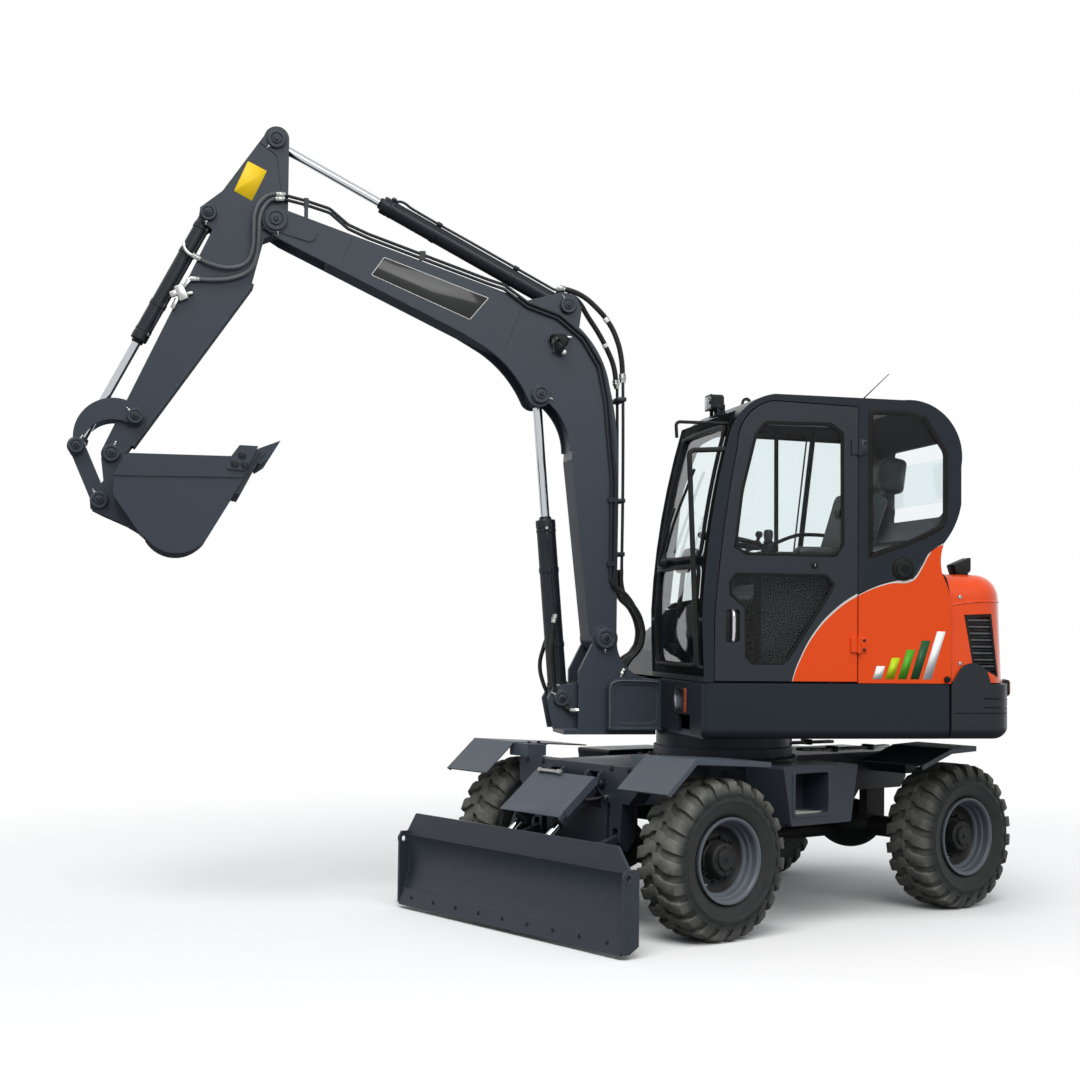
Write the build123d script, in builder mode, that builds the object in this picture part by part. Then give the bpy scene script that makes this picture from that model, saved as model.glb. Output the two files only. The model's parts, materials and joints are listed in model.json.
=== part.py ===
# Wheeled excavator: a compact machine on four equal tyres, with a dozer blade, a cab on the
# left of the slewing upper structure, and a one-piece boom, arm and bucket.
#
# Millimetres, +Z up. The origin is on the ground under the slewing axis. +X is the way the boom
# points and +Y is the cab's side. The undercarriage is drawn along its own X and then turned
# about the slewing axis by `undercarriage_heading`, because it stands slewed under the boom.

import os
from math import atan2, cos, hypot, radians, sin, sqrt

from build123d import *

# ---------------------------------------------------------------- driving dimensions
undercarriage_heading = 26.6

# undercarriage, in its own frame
front_axle_x = 829
rear_axle_x = -1087
track = 1550
tyre_radius = 415
tyre_half_width = 153
rim_seat_radius = 209
rim_flange_radius = 222
kingpin_y = 585
axle_z = tyre_radius
frame_top = 866
turret_radius = 400
bearing_bottom, bearing_top = 925, 1010

blade_half_width = 970
blade_pivot = (1060, 470)
blade_cylinder_base = (1100, 765)
blade_cylinder_eye = (1500, 440)

# upper structure
side_y = 921
deck_bottom, deck_top = 1014, 1311
deck_front = 400
panel_seam_x = -998
tail_radius = 1600
cab_right_y = -90
door_hinge_x = -457
wall = 45

# working equipment: pins as (x, z), all on the plane y = boom_y
boom_y = -120
foot_pin = (717, 1532)
boom_cylinder_base = (955, 1187)
boom_cylinder_eye = (1105, 2927)
arm_cylinder_base = (943, 3454)
arm_cylinder_eye = (2633, 4308)
arm_pin = (2629, 3847)
bucket_cylinder_base = (3000, 3871)
link_pin = (3677, 2547)
guide_pin = (3369, 2717)
bucket_pin = (3491, 2509)
push_pin = (3549, 2252)
boom_half_width = 115
arm_half_width = 85
bucket_half_width = 350
tooth_count, tooth_pitch = 5, 150
pin_radius = 30
running_gap = 1.0
side_gap = 3.0

os.makedirs("parts", exist_ok=True)


# ---------------------------------------------------------------- small tools
def side_plane(y):
    # an upright plane that faces +Y: its own x is the machine's X and its own y is Z
    return Plane.XZ.offset(-y)


def front_plane(x):
    # an upright plane across the machine: its own x is Y and its own y is Z
    return Plane.YZ.offset(x)


def point_at(pin, y=boom_y):
    return (pin[0], y, pin[1])


def along(start, end):
    # the plane square to the line between two pins, standing on the first
    x, z = end[0] - start[0], end[1] - start[1]
    return Plane(origin=point_at(start), x_dir=(0, 1, 0), z_dir=(x, 0, z))


def span(start, end):
    return hypot(end[0] - start[0], end[1] - start[1])


def bar_across(pin, radius, y_low, y_high, mode=Mode.ADD):
    # a round bar or hole that lies across the machine
    with Locations((pin[0], (y_low + y_high) / 2, pin[1])):
        Cylinder(radius, y_high - y_low, rotation=(90, 0, 0), mode=mode)


def pair_across(pin, radius, inner, outer, mid_y=boom_y):
    # two equal bosses, one each side of a mid plane
    bar_across(pin, radius, mid_y + inner, mid_y + outer)
    bar_across(pin, radius, mid_y - outer, mid_y - inner)


def outline(points):
    # a closed straight-sided profile
    Polygon(*points, align=None)


def save(builder, node, heading=0):
    piece = builder.part.rotate(Axis.Z, heading) if heading else builder.part
    piece.label = node
    export_step(piece, f"parts/{node}.step")
    return piece


def save_under(builder, node):
    return save(builder, node, undercarriage_heading)


# ---------------------------------------------------------------- undercarriage: frame
# A welded box beam, arched over both axles so that they can rock, with a wide cross box at the
# front for the blade, a round turret seat, and side beams that carry the steps.
frame_half_width = 250
frame_front, frame_rear = 1100, -1330
with BuildPart() as chassis_frame:
    with BuildSketch(side_plane(frame_half_width)):
        outline([(frame_rear, 700), (frame_rear, frame_top), (frame_front, frame_top),
                 (frame_front, 440), (1010, 440), (975, 640), (650, 640), (560, 520),
                 (-800, 520), (-900, 640), (-1280, 640)])
    extrude(amount=2 * frame_half_width)
    # cross box between the front fenders, its lower corners cut off clear of the steered tyres
    with BuildSketch(front_plane(frame_front)):
        outline([(-500, frame_top), (500, frame_top), (500, 740), (430, 670), (-430, 670),
                 (-500, 740)])
    extrude(amount=-110)
    # flanges of the box beam, along its top and under its middle
    for z, x_low, x_high in ((frame_top - 7, frame_rear, frame_front - 110), (528, -790, 560)):
        with Locations(((x_low + x_high) / 2, 0, z)):
            Box(x_high - x_low, 2 * frame_half_width + 36, 14)
    # turret seat under the slewing bearing
    with BuildSketch(Plane.XY.offset(frame_top - 120)):
        Circle(turret_radius + 30)
    extrude(amount=120)
    with BuildSketch(Plane.XY.offset(frame_top)):
        Circle(turret_radius)
    extrude(amount=bearing_bottom - frame_top)
    # side beams for the step boxes
    with Locations((95, 0, 735)):
        Box(420, 2 * 565, 150)
    # rear cross beam for the rear fenders
    with Locations((rear_axle_x, 0, 800)):
        Box(120, 1000, 100)
    # lugs for the blade's push arms and for its cylinders
    for y in (-330, 330):
        with BuildSketch(side_plane(y + 45)):
            outline([(1000, 700), (1100, 700), (1110, 470), (1060, 420), (1010, 470)])
        extrude(amount=90)
    for y in (-160, 160):
        with BuildSketch(side_plane(y + 60)):
            outline([(1090, 690), (1090, 840), (1125, 820), (1140, 760), (1120, 720)])
        extrude(amount=120)
    for y in (-330, 330):
        bar_across(blade_pivot, 60, y - 22, y + 22, Mode.SUBTRACT)
        with Locations((1095, y, 440)):
            Box(60, 44, 200, mode=Mode.SUBTRACT)
    for y in (-160, 160):
        bar_across(blade_cylinder_base, 62, y - 47, y + 47, Mode.SUBTRACT)
        with Locations((1145, y, 765)):
            Box(90, 94, 200, mode=Mode.SUBTRACT)
        with Locations((1120, y, 700)):
            Box(110, 94, 130, mode=Mode.SUBTRACT)
save_under(chassis_frame, "chassis_frame")

with BuildPart() as swing_bearing:
    with BuildSketch(Plane.XY.offset(bearing_bottom)):
        Circle(385)
        Circle(300, mode=Mode.SUBTRACT)
    extrude(amount=bearing_top - bearing_bottom)
save_under(swing_bearing, "swing_bearing")

# ---------------------------------------------------------------- undercarriage: axles
hub_y = track / 2


def axle_profile(x, half_length):
    # half of a drive axle: a round tube, swelling at the differential in the middle
    with BuildLine() as edge:
        Polyline((x, -half_length), (x + 62, -half_length), (x + 62, -210))
        ThreePointArc((x + 62, -210), (x + 150, 0), (x + 62, 210))
        Polyline((x + 62, 210), (x + 62, half_length), (x, half_length), (x, -half_length))
    make_face(edge.edges())


with BuildPart() as front_axle:
    with BuildSketch(Plane.XY.offset(axle_z)):
        axle_profile(front_axle_x, 500)
    revolve(axis=Axis((front_axle_x, 0, axle_z), (0, 1, 0)))
    # the rocking pin's cradle, and the fork and caps that hold each kingpin
    with Locations((front_axle_x, 0, 565)):
        Box(220, 150, 150)
    for side in (-1, 1):
        for z in (axle_z - 130, axle_z + 96):
            with Locations((front_axle_x, side * 525, z + 17)):
                Box(110, 190, 34)
        with Locations((front_axle_x, side * 445, axle_z)):
            Box(110, 30, 294)
        for z in (axle_z - 138, axle_z + 138):
            with Locations((front_axle_x, side * kingpin_y, z)):
                Cylinder(42, 16)
save_under(front_axle, "front_axle")

with BuildPart() as rear_axle:
    with BuildSketch(Plane.XY.offset(axle_z)):
        axle_profile(rear_axle_x, 690)
    revolve(axis=Axis((rear_axle_x, 0, axle_z), (0, 1, 0)))
    for side in (-1, 1):
        bar_across((rear_axle_x, axle_z), 120, side * 640 - 35, side * 640 + 35)
        with Locations((rear_axle_x, side * 190, 550)):
            Box(160, 60, 180)
save_under(rear_axle, "rear_axle")

# gearbox with its motor, and a shaft to each axle
with BuildPart() as drive_line:
    with Locations((-180, 0, 410)):
        Box(300, 240, 220)
    with BuildSketch(front_plane(-330)):
        with Locations((0, 380)):
            Circle(38)
    extrude(amount=rear_axle_x + 150 + 330)
    with BuildSketch(front_plane(-30)):
        with Locations((0, 380)):
            Circle(38)
    extrude(amount=front_axle_x - 150 + 30)
save_under(drive_line, "drive_line")

# ---------------------------------------------------------------- undercarriage: wheels
with BuildPart() as tyre:
    with BuildSketch(Plane.XY):
        with BuildLine():
            Line((rim_seat_radius + 1, -104), (rim_seat_radius + 1, 104))
            Line((rim_seat_radius + 1, 104), (rim_flange_radius + 6, 121))
            ThreePointArc((rim_flange_radius + 6, 121), (318, tyre_half_width), (378, 143))
            ThreePointArc((378, 143), (404, 128), (tyre_radius, 96))
            Line((tyre_radius, 96), (tyre_radius, -96))
            ThreePointArc((tyre_radius, -96), (404, -128), (378, -143))
            ThreePointArc((378, -143), (318, -tyre_half_width), (rim_flange_radius + 6, -121))
            Line((rim_flange_radius + 6, -121), (rim_seat_radius + 1, -104))
        make_face()
    revolve(axis=Axis.Y)

# rim: a well with a stepped dish set in from the outer flange, and the hub in its middle
with BuildPart() as rim:
    with BuildSketch(Plane.XY):
        with BuildLine():
            Polyline((190, -136), (rim_flange_radius, -136), (rim_flange_radius, -126),
                     (rim_seat_radius, -110), (rim_seat_radius, 110), (rim_flange_radius, 126),
                     (rim_flange_radius, 138), (213, 138))
            ThreePointArc((213, 138), (203, 132), (200, 118))
            Polyline((200, 118), (199, 92), (188, 88), (187, 62), (174, 57))
            ThreePointArc((174, 57), (158, 34), (128, 26))
            Polyline((128, 26), (120, 26), (120, 8), (178, 30), (190, -40), (200, -104),
                     (190, -110), (190, -136))
        make_face()
    revolve(axis=Axis.Y)
    with BuildSketch(Plane.XY):
        outline([(0, -20), (135, -20), (135, 26), (96, 32), (88, 40), (84, 92), (78, 98),
                 (52, 98), (50, 112), (0, 112)])
    revolve(axis=Axis.Y)

wheels = {
    # name: (axle x, side)
    "front_left": (front_axle_x, 1),
    "front_right": (front_axle_x, -1),
    "rear_left": (rear_axle_x, 1),
    "rear_right": (rear_axle_x, -1),
}
turned = Location((0, 0, 0), (0, 0, undercarriage_heading))
for name, (x, side) in wheels.items():
    facing = Location((x, side * hub_y, axle_z), (0, 0, 0 if side > 0 else 180))
    for piece, kind in ((tyre.part, "tyre"), (rim.part, "rim")):
        placed = (turned * facing) * piece
        placed.label = f"{name}_{kind}"
        export_step(placed, f"parts/{name}_{kind}.step")

# steering knuckles: a yoke on the kingpin with the wheel's spindle and a steering arm behind
steering_arm_x = front_axle_x - 170
steering_arm_y = 550
tie_rod_z = axle_z - 107
for name, side in (("left_knuckle", 1), ("right_knuckle", -1)):
    with BuildPart() as knuckle:
        with Locations((front_axle_x, side * kingpin_y, axle_z)):
            Cylinder(34, 184)
            Box(96, 74, 168)
        bar_across((front_axle_x, axle_z), 62, min(side * 600, side * 740),
                   max(side * 600, side * 740))
        with Locations((front_axle_x - 110, side * steering_arm_y, tie_rod_z + 36)):
            Box(170, 36, 30)
    save_under(knuckle, name)

with BuildPart() as tie_rod:
    bar_across((steering_arm_x, tie_rod_z), 15, -steering_arm_y, steering_arm_y)
    for side in (-1, 1):
        with Locations((steering_arm_x, side * steering_arm_y, tie_rod_z)):
            Cylinder(24, 34)
save_under(tie_rod, "tie_rod")

# ---------------------------------------------------------------- undercarriage: fenders, steps
# Each fender is a bent plate with a lip turned down along its outer edge.
fender_inner, fender_outer = 560, 935
fender_plate, fender_lip = 7, 26


with BuildPart() as front_fenders:
    for side in (-1, 1):
        for plate_inner, plate_outer, thickness in ((fender_inner, fender_outer, fender_plate),
                                                    (fender_outer - 6, fender_outer, fender_lip)):
            drop = (thickness - fender_plate) / 2
            with BuildSketch(side_plane(max(side * plate_inner, side * plate_outer))):
                outline([(1295, 776), (1100, 942), (560, 908), (560, 901 - 2 * drop),
                         (1098 - drop, 934 - 2 * drop), (1290 - 2 * drop, 770 - drop)])
            extrude(amount=plate_outer - plate_inner)
        # bracket that stands on the frame's cross box, above the tyre
        with BuildSketch(side_plane(max(side * 440, side * (fender_inner + 40)))):
            outline([(1096, 937), (960, 928), (960, frame_top), (1096, frame_top)])
        extrude(amount=fender_inner + 40 - 440)
save_under(front_fenders, "front_fenders")

with BuildPart() as rear_fenders:
    for side in (-1, 1):
        for plate_inner, plate_outer, drop in ((500, fender_outer, 0),
                                               (fender_outer - 6, fender_outer, 20)):
            with BuildSketch(side_plane(max(side * plate_inner, side * plate_outer))):
                outline([(-655, 845), (-915, 928), (-1135, 936), (-1135, 926 - drop),
                         (-915, 918 - drop), (-655, 836 - drop)])
            extrude(amount=plate_outer - plate_inner)
        # wedge-shaped stays from the cross beam out under the plate
        with BuildSketch(front_plane(rear_axle_x + 80)):
            outline([(side * 480, 840), (side * 480, 925), (side * 840, 925), (side * 840, 900)])
        extrude(amount=-12)
        with Locations((rear_axle_x + 30, side * 520, 880)):
            Box(110, 40, 80)
save_under(rear_fenders, "rear_fenders")

# step boxes: tapered boxes hung on the side beams, each with a foot hole in a raised rim
step_hole = (168, 722)
with BuildPart() as step_boxes:
    for side in (-1, 1):
        with BuildSketch(side_plane(max(side * 565, side * 855))):
            outline([(384, 870), (-202, 865), (-147, 553), (322, 553)])
        extrude(amount=290)
    fillet(step_boxes.edges().filter_by(Axis.Y), radius=14)
    for side in (-1, 1):
        with BuildSketch(side_plane(side * 855 + 5)):
            with Locations(step_hole):
                RectangleRounded(292, 252, 24)
        extrude(amount=10)
        with BuildSketch(side_plane(max(side * 665, side * 870))):
            with Locations(step_hole):
                RectangleRounded(258, 218, 14)
        extrude(amount=205, mode=Mode.SUBTRACT)
save_under(step_boxes, "step_boxes")

# ---------------------------------------------------------------- dozer blade
with BuildPart() as dozer_blade:
    # curved mouldboard with a flat cutting edge and a leaning plate on top
    with BuildSketch(side_plane(blade_half_width)):
        with BuildLine():
            Line((1590, 25), (1562, 120))
            ThreePointArc((1562, 120), (1535, 250), (1560, 412))
            Line((1560, 412), (1530, 412))
            ThreePointArc((1530, 412), (1510, 250), (1530, 120))
            Line((1530, 120), (1560, 25))
            Line((1560, 25), (1590, 25))
        make_face()
    extrude(amount=2 * blade_half_width)
    with BuildSketch(front_plane(1552)):
        outline([(-970, 405), (970, 405), (868, 535), (-868, 535)])
    extrude(amount=-14)
    # bolted cutting edge, and ribs down the back between the arms and the ends
    with BuildSketch(side_plane(blade_half_width - 20)):
        outline([(1604, 22), (1580, 112), (1560, 112), (1586, 22)])
    extrude(amount=2 * blade_half_width - 40)
    for y in (-760, -520, 534, 774):
        with BuildSketch(side_plane(y)):
            outline([(1536, 70), (1536, 400), (1496, 392), (1462, 250), (1496, 80)])
        extrude(amount=14)
    # end plates with the tie-down eyes
    for side in (-1, 1):
        y_high = max(side * 954, side * 970)
        with BuildSketch(side_plane(y_high)):
            outline([(1600, 30), (1560, 25), (1500, 60), (1500, 400), (1520, 430), (1585, 430),
                     (1600, 400)])
        extrude(amount=16)
        bar_across((1570, 388), 16, y_high - 20, y_high + 4, Mode.SUBTRACT)
    # lugs of the cylinders' rod eyes
    for side in (-1, 1):
        for plate in (-46, 34):
            with BuildSketch(side_plane(side * 160 + plate + 12)):
                outline([(1522, 340), (1522, 500), (1480, 480), (1462, 430), (1490, 360)])
            extrude(amount=12)
save_under(dozer_blade, "dozer_blade")

# push arms back to the frame, with a cross beam between them, seated on the mouldboard's back
with BuildPart() as blade_arms:
    for side in (-1, 1):
        with BuildSketch(side_plane(side * 330 + 18)):
            outline([(1532, 90), (1532, 360), (1460, 400), (1060, 515), (1015, 470),
                     (1060, 425), (1300, 330), (1440, 120)])
        extrude(amount=36)
    with Locations((1400, 0, 290)):
        Box(90, 660, 60)
    add(dozer_blade.part, mode=Mode.SUBTRACT)
save_under(blade_arms, "blade_arms")


def blade_cylinder_plane(y):
    x = blade_cylinder_eye[0] - blade_cylinder_base[0]
    z = blade_cylinder_eye[1] - blade_cylinder_base[1]
    return Plane(origin=point_at(blade_cylinder_base, y), x_dir=(0, 1, 0), z_dir=(x, 0, z))


blade_barrel_length = 325
blade_cylinder_length = span(blade_cylinder_base, blade_cylinder_eye)
with BuildPart() as blade_cylinder_barrel:
    for y in (-160, 160):
        bar_across(blade_cylinder_base, 34, y - 34, y + 34)
        with BuildSketch(blade_cylinder_plane(y)):
            Circle(42)
        extrude(amount=blade_barrel_length)
        with BuildSketch(blade_cylinder_plane(y).offset(blade_barrel_length)):
            Circle(22)
        extrude(amount=45 - blade_barrel_length, mode=Mode.SUBTRACT)
save_under(blade_cylinder_barrel, "blade_cylinder_barrels")

# guard plate over both cylinders, with a folded edge down each side
with BuildPart() as blade_cover:
    slope = atan2(-(blade_cylinder_eye[1] - blade_cylinder_base[1]),
                  blade_cylinder_eye[0] - blade_cylinder_base[0])
    guard = Plane(origin=(1268, 0, 717), x_dir=(0, 1, 0), z_dir=(sin(slope), 0, cos(slope)))
    with BuildSketch(guard):
        with Locations((-20, 0)):
            Rectangle(500, 270)
    extrude(amount=6)
    for y in (-267, 227):
        with BuildSketch(guard):
            with Locations((y, 0)):
                Rectangle(6, 270)
        extrude(amount=-40)
save_under(blade_cover, "blade_cover")

with BuildPart() as blade_cylinder_rod:
    for y in (-160, 160):
        bar_across(blade_cylinder_eye, 30, y - 30, y + 30)
        with BuildSketch(blade_cylinder_plane(y).offset(blade_cylinder_length)):
            Circle(18)
        extrude(amount=-330)
save_under(blade_cylinder_rod, "blade_cylinder_rods")

# ---------------------------------------------------------------- upper structure: deck
with BuildPart() as upper_frame:
    # deck plate with a tongue back under the engine
    with BuildSketch(Plane.XY.offset(deck_bottom)):
        with Locations(((deck_front - 20 + panel_seam_x) / 2, 0)):
            Rectangle(deck_front - 20 - panel_seam_x, 2 * 860)
        with Locations((-1174, 0)):
            Rectangle(360, 1280)
    extrude(amount=30)
    # two long beams from the tail to the boom's foot
    for y in (boom_y - 115, boom_y + 95):
        with Locations((-250, y + 10, 1110)):
            Box(1900, 20, 140)
    # box in front of the cab, round-nosed, that the boom's bracket stands on
    with BuildSketch(side_plane(95), side_plane(-275)):
        with BuildLine():
            Line((deck_front - 20, deck_bottom), (706, deck_bottom))
            Line((706, deck_bottom), (706, 1244))
            ThreePointArc((706, 1244), (688, 1288), (646, 1304))
            Line((646, 1304), (deck_front - 20, 1304))
            Line((deck_front - 20, 1304), (deck_front - 20, deck_bottom))
        make_face()
    extrude(amount=60)
    for y_outer, y_mid, depth in ((95, 65, 4), (-335, -305, -4)):
        # foot flange, and the shallow panel pressed into the outer face
        with Locations((544, y_mid, deck_bottom + 6)):
            Box(328, 76, 12)
        with BuildSketch(side_plane(y_outer)):
            with Locations((546, 1162)):
                RectangleRounded(250, 216, 44)
        extrude(amount=depth, mode=Mode.SUBTRACT)
save(upper_frame, "upper_frame")

# boom bracket: base plate, two shaped cheeks and the lugs of the boom's cylinder
cheek_inner = boom_half_width + side_gap
cheek_outer = cheek_inner + 28
with BuildPart() as boom_bracket:
    with BuildSketch(Plane.XY.offset(984)):
        with Locations((681, boom_y)):
            Rectangle(542, 2 * cheek_outer)
    extrude(amount=30)
    for y_high in (boom_y + cheek_outer, boom_y - cheek_inner):
        with BuildSketch(side_plane(y_high)):
            with BuildLine():
                Polyline((867, 1014), (867, 1346), (790, 1500))
                ThreePointArc((790, 1500), (foot_pin[0], foot_pin[1] + 78), (645, 1505))
                ThreePointArc((645, 1505), (600, 1385), (438, 1304))
                Polyline((438, 1304), (438, 1014), (867, 1014))
            make_face()
        extrude(amount=cheek_outer - cheek_inner)
    # cross web in front of the foot
    with Locations((780, boom_y, 1165)):
        Box(28, 2 * cheek_inner, 300)
    # cylinder lugs
    for y_high in (boom_y + 88, boom_y - 60):
        with BuildSketch(side_plane(y_high)):
            outline([(780, 1014), (1000, 1014), (1035, 1185), (1000, 1250), (955, 1265),
                     (780, 1290)])
        extrude(amount=28)
    # foot pin and cylinder pin, with their end bosses
    bar_across(foot_pin, pin_radius, boom_y - cheek_outer, boom_y + cheek_outer)
    pair_across(foot_pin, 62, cheek_outer, cheek_outer + 24)
    bar_across(boom_cylinder_base, pin_radius, boom_y - 88, boom_y + 88)
    pair_across(boom_cylinder_base, 48, 88, 104)
save(boom_bracket, "boom_bracket")

# pressed side skirts under the cab and along the right side, rolled in along the bottom
def skirt_section(side):
    with BuildLine() as edge:
        Line((side * side_y, deck_top), (side * side_y, deck_bottom + 55))
        ThreePointArc((side * side_y, deck_bottom + 55), (side * (side_y - 16), deck_bottom + 16),
                      (side * (side_y - 55), deck_bottom))
        Polyline((side * (side_y - 55), deck_bottom), (side * (side_y - 55), deck_top),
                 (side * side_y, deck_top))
    make_face(edge.edges())


def front_corner(edge):
    return edge.center().X > deck_front - 1 and abs(edge.center().Y) > side_y - 1


lamp_recess = (485, 1205)
with BuildPart() as left_skirt:
    with BuildSketch(front_plane(panel_seam_x + 10)):
        skirt_section(1)
    extrude(amount=deck_front - panel_seam_x - 10)
    fillet(left_skirt.edges().filter_by(Axis.Z).filter_by(front_corner), radius=34)
    # front apron with the lamp's recess and a notch for the toe
    with Locations((deck_front - 10, 483, 1172)):
        Box(20, 774, 276)
    with BuildSketch(front_plane(deck_front)):
        with Locations(lamp_recess):
            RectangleRounded(264, 164, 16)
    extrude(amount=-12, mode=Mode.SUBTRACT)
    with BuildSketch(front_plane(deck_front)):
        with Locations((560, 1080)):
            Rectangle(220, 100)
    extrude(amount=-30, mode=Mode.SUBTRACT)
save(left_skirt, "left_skirt")

with BuildPart() as right_skirt:
    with BuildSketch(front_plane(panel_seam_x + 10)):
        skirt_section(-1)
    extrude(amount=deck_front - panel_seam_x - 10)
    fillet(right_skirt.edges().filter_by(Axis.Z).filter_by(front_corner), radius=34)
save(right_skirt, "right_skirt")

# ---------------------------------------------------------------- upper structure: tail


def tail_outline(radius, half_width, corner, front):
    # plan of the tail: flat sides, rounded corners and a back that follows the slewing circle
    back = -sqrt(radius ** 2 - half_width ** 2)
    with BuildLine() as edge:
        Line((front, half_width), (back, half_width))
        ThreePointArc((back, half_width), (-radius, 0), (back, -half_width))
        Line((back, -half_width), (front, -half_width))
        Line((front, -half_width), (front, half_width))
    make_face(edge.edges())
    corners = vertices().group_by(Axis.X)[0]
    fillet(corners, radius=corner)


with BuildSketch() as counterweight_plan:
    tail_outline(tail_radius, side_y, 110, panel_seam_x - 4)

hood_base = deck_top + 8
hood_wall = 12
hood_half_width = 904
ear_thickness = 11
with BuildPart() as counterweight:
    with BuildSketch(Plane.XY.offset(deck_bottom)):
        add(counterweight_plan.sketch)
    extrude(amount=deck_top - deck_bottom)
    fillet(counterweight.faces().sort_by(Axis.Z)[0].edges().filter_by(
        lambda e: e.center().X < panel_seam_x - 10), radius=60)
    # a parting line all round, and two short grooves round each rear corner
    for z, height, front in ((1152, 5, -1020), (1180, 10, -1190), (1228, 10, -1190)):
        with BuildSketch(Plane.XY.offset(z)):
            with Locations(((front - 1700) / 2, 0)):
                Rectangle(front + 1700, 2000)
            offset(counterweight_plan.sketch, amount=-8, mode=Mode.SUBTRACT)
        extrude(amount=height, mode=Mode.SUBTRACT)
    # a thin ear each side that rises outside the hood
    for y_high in (side_y, ear_thickness - side_y):
        with BuildSketch(side_plane(y_high)):
            with BuildLine():
                Line((-1008, deck_top - 2), (-1008, deck_top + 9))
                Line((-1008, deck_top + 9), (-1056, 1398))
                ThreePointArc((-1056, 1398), (-1143, 1426), (-1216, 1372))
                Line((-1216, 1372), (-1236, deck_top - 2))
                Line((-1236, deck_top - 2), (-1008, deck_top - 2))
            make_face()
        extrude(amount=ear_thickness)
    # room for the engine in the middle
    with BuildSketch(Plane.XY.offset(deck_bottom)):
        with Locations((-1150, 0)):
            Rectangle(420, 1300)
    extrude(amount=500, mode=Mode.SUBTRACT)
save(counterweight, "counterweight")

grille_turn = 8


# the hood's outer and inner forms: narrower towards the top, with its top edges well rounded
hood_forms = []
for inset, top in ((0, 1914), (hood_wall, 1900)):
    with BuildPart() as hood_form:
        with BuildSketch(Plane.XY.offset(hood_base - inset)):
            tail_outline(1566 - inset, hood_half_width - inset, 190 - inset, panel_seam_x + 90)
        extrude(amount=top - hood_base + inset, taper=2)
        fillet(hood_form.faces().sort_by(Axis.Z)[-1].edges().filter_by(
            lambda e: e.center().X < panel_seam_x + 40), radius=130 - inset)
        with Locations((panel_seam_x + 196, 0, 1700)):
            Box(400, 2100, 1000, mode=Mode.SUBTRACT)
    hood_forms.append(hood_form.part)


def grille_shape(margin=0, mode=Mode.ADD):
    # the grille's slanted four-sided outline: x runs back along the hood, y is height
    Polygon((margin, 1690 - margin), (170 - margin, 1698 - margin), (212 - margin, 1352 + margin),
            (43 + margin, 1415 + margin), align=None, mode=mode)


grille_side = Plane(origin=(-1090, hood_half_width - 8, 0),
                    x_dir=(-cos(radians(grille_turn)), -sin(radians(grille_turn)), 0),
                    z_dir=(-sin(radians(grille_turn)), cos(radians(grille_turn)), 0))

with BuildPart() as grille_opening:
    with BuildSketch(grille_side.offset(-60)):
        grille_shape()
    extrude(amount=110)
    mirror(about=Plane.XZ)

with BuildPart() as engine_hood:
    add(hood_forms[0])
    add(hood_forms[1], mode=Mode.SUBTRACT)
    add(grille_opening.part, mode=Mode.SUBTRACT)
    # hinge barrels under the front of the top
    for y in (-430, 430):
        bar_across((-1006, 1905), 9, y - 45, y + 45)
save(engine_hood, "engine_hood")

with BuildPart() as engine_block:
    with Locations((-1080, 0, 1445)):
        Box(400, 760, 510)
save(engine_block, "engine_block")

# louvred grilles let into the hood's rear quarters: a frame with slats that lean outwards
slat_count = 8
with BuildPart() as grille_slats:
    for slat in range(slat_count):
        with BuildSketch(grille_side * Plane(origin=(106, 1392 + slat * 36, -9), x_dir=(1, 0, 0),
                                             z_dir=(0, 1, 0.9))):
            Rectangle(260, 20)
        extrude(amount=4)
    with BuildSketch(grille_side.offset(-16)):
        grille_shape(8)
    extrude(amount=18, mode=Mode.INTERSECT)

with BuildPart() as hood_grilles:
    with BuildSketch(grille_side.offset(-16)):
        grille_shape(2)
        grille_shape(15, Mode.SUBTRACT)
    extrude(amount=18)
    add(grille_slats.part)
    mirror(about=Plane.XZ)
save(hood_grilles, "hood_grilles")

# painted panel behind the door, between cab and hood, and the tank cover on the right
panel_thickness = 12


def side_panel_profile(gap=0):
    front = door_hinge_x - 6 + gap
    with BuildLine() as edge:
        Line((front, deck_top + 4 - gap), (front, 1788 + gap))
        ThreePointArc((front, 1788 + gap), (-636, 1858 + gap), (-779, 1880 + gap))
        ThreePointArc((-779, 1880 + gap), (-873, 2024 + gap), (-955, 2073 + gap))
        ThreePointArc((-955, 2073 + gap), (-938, 1990), (-945, 1917))
        Line((-945, 1917), (-982, 1830))
        Line((-982, 1830), (panel_seam_x, 1760))
        Line((panel_seam_x, 1760), (panel_seam_x, deck_top + 4 - gap))
        Line((panel_seam_x, deck_top + 4 - gap), (front, deck_top + 4 - gap))
    make_face(edge.edges())


with BuildPart() as left_side_panel:
    with BuildSketch(side_plane(side_y)):
        side_panel_profile()
    extrude(amount=panel_thickness)
save(left_side_panel, "left_side_panel")

with BuildPart() as right_cover:
    with BuildSketch(side_plane(cab_right_y - 50)):
        with BuildLine():
            Line((panel_seam_x + 4, deck_top + 4), (panel_seam_x + 4, 1800))
            Line((panel_seam_x + 4, 1800), (-330, 1800))
            ThreePointArc((-330, 1800), (60, 1700), (340, 1460))
            Line((340, 1460), (deck_front - 20, deck_top + 4))
            Line((deck_front - 20, deck_top + 4), (panel_seam_x + 4, deck_top + 4))
        make_face()
    extrude(amount=side_y + cab_right_y - 70)
    fillet(right_cover.faces().sort_by(Axis.Y)[0].edges().filter_by(
        lambda e: e.center().Z > deck_top + 30 and e.center().X > panel_seam_x + 30), radius=60)
    # room for the engine's front
    with Locations((-930, -250, 1445)):
        Box(160, 320, 540, mode=Mode.SUBTRACT)
save(right_cover, "right_cover")

# ---------------------------------------------------------------- cab
cab_width = side_y - cab_right_y


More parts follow.
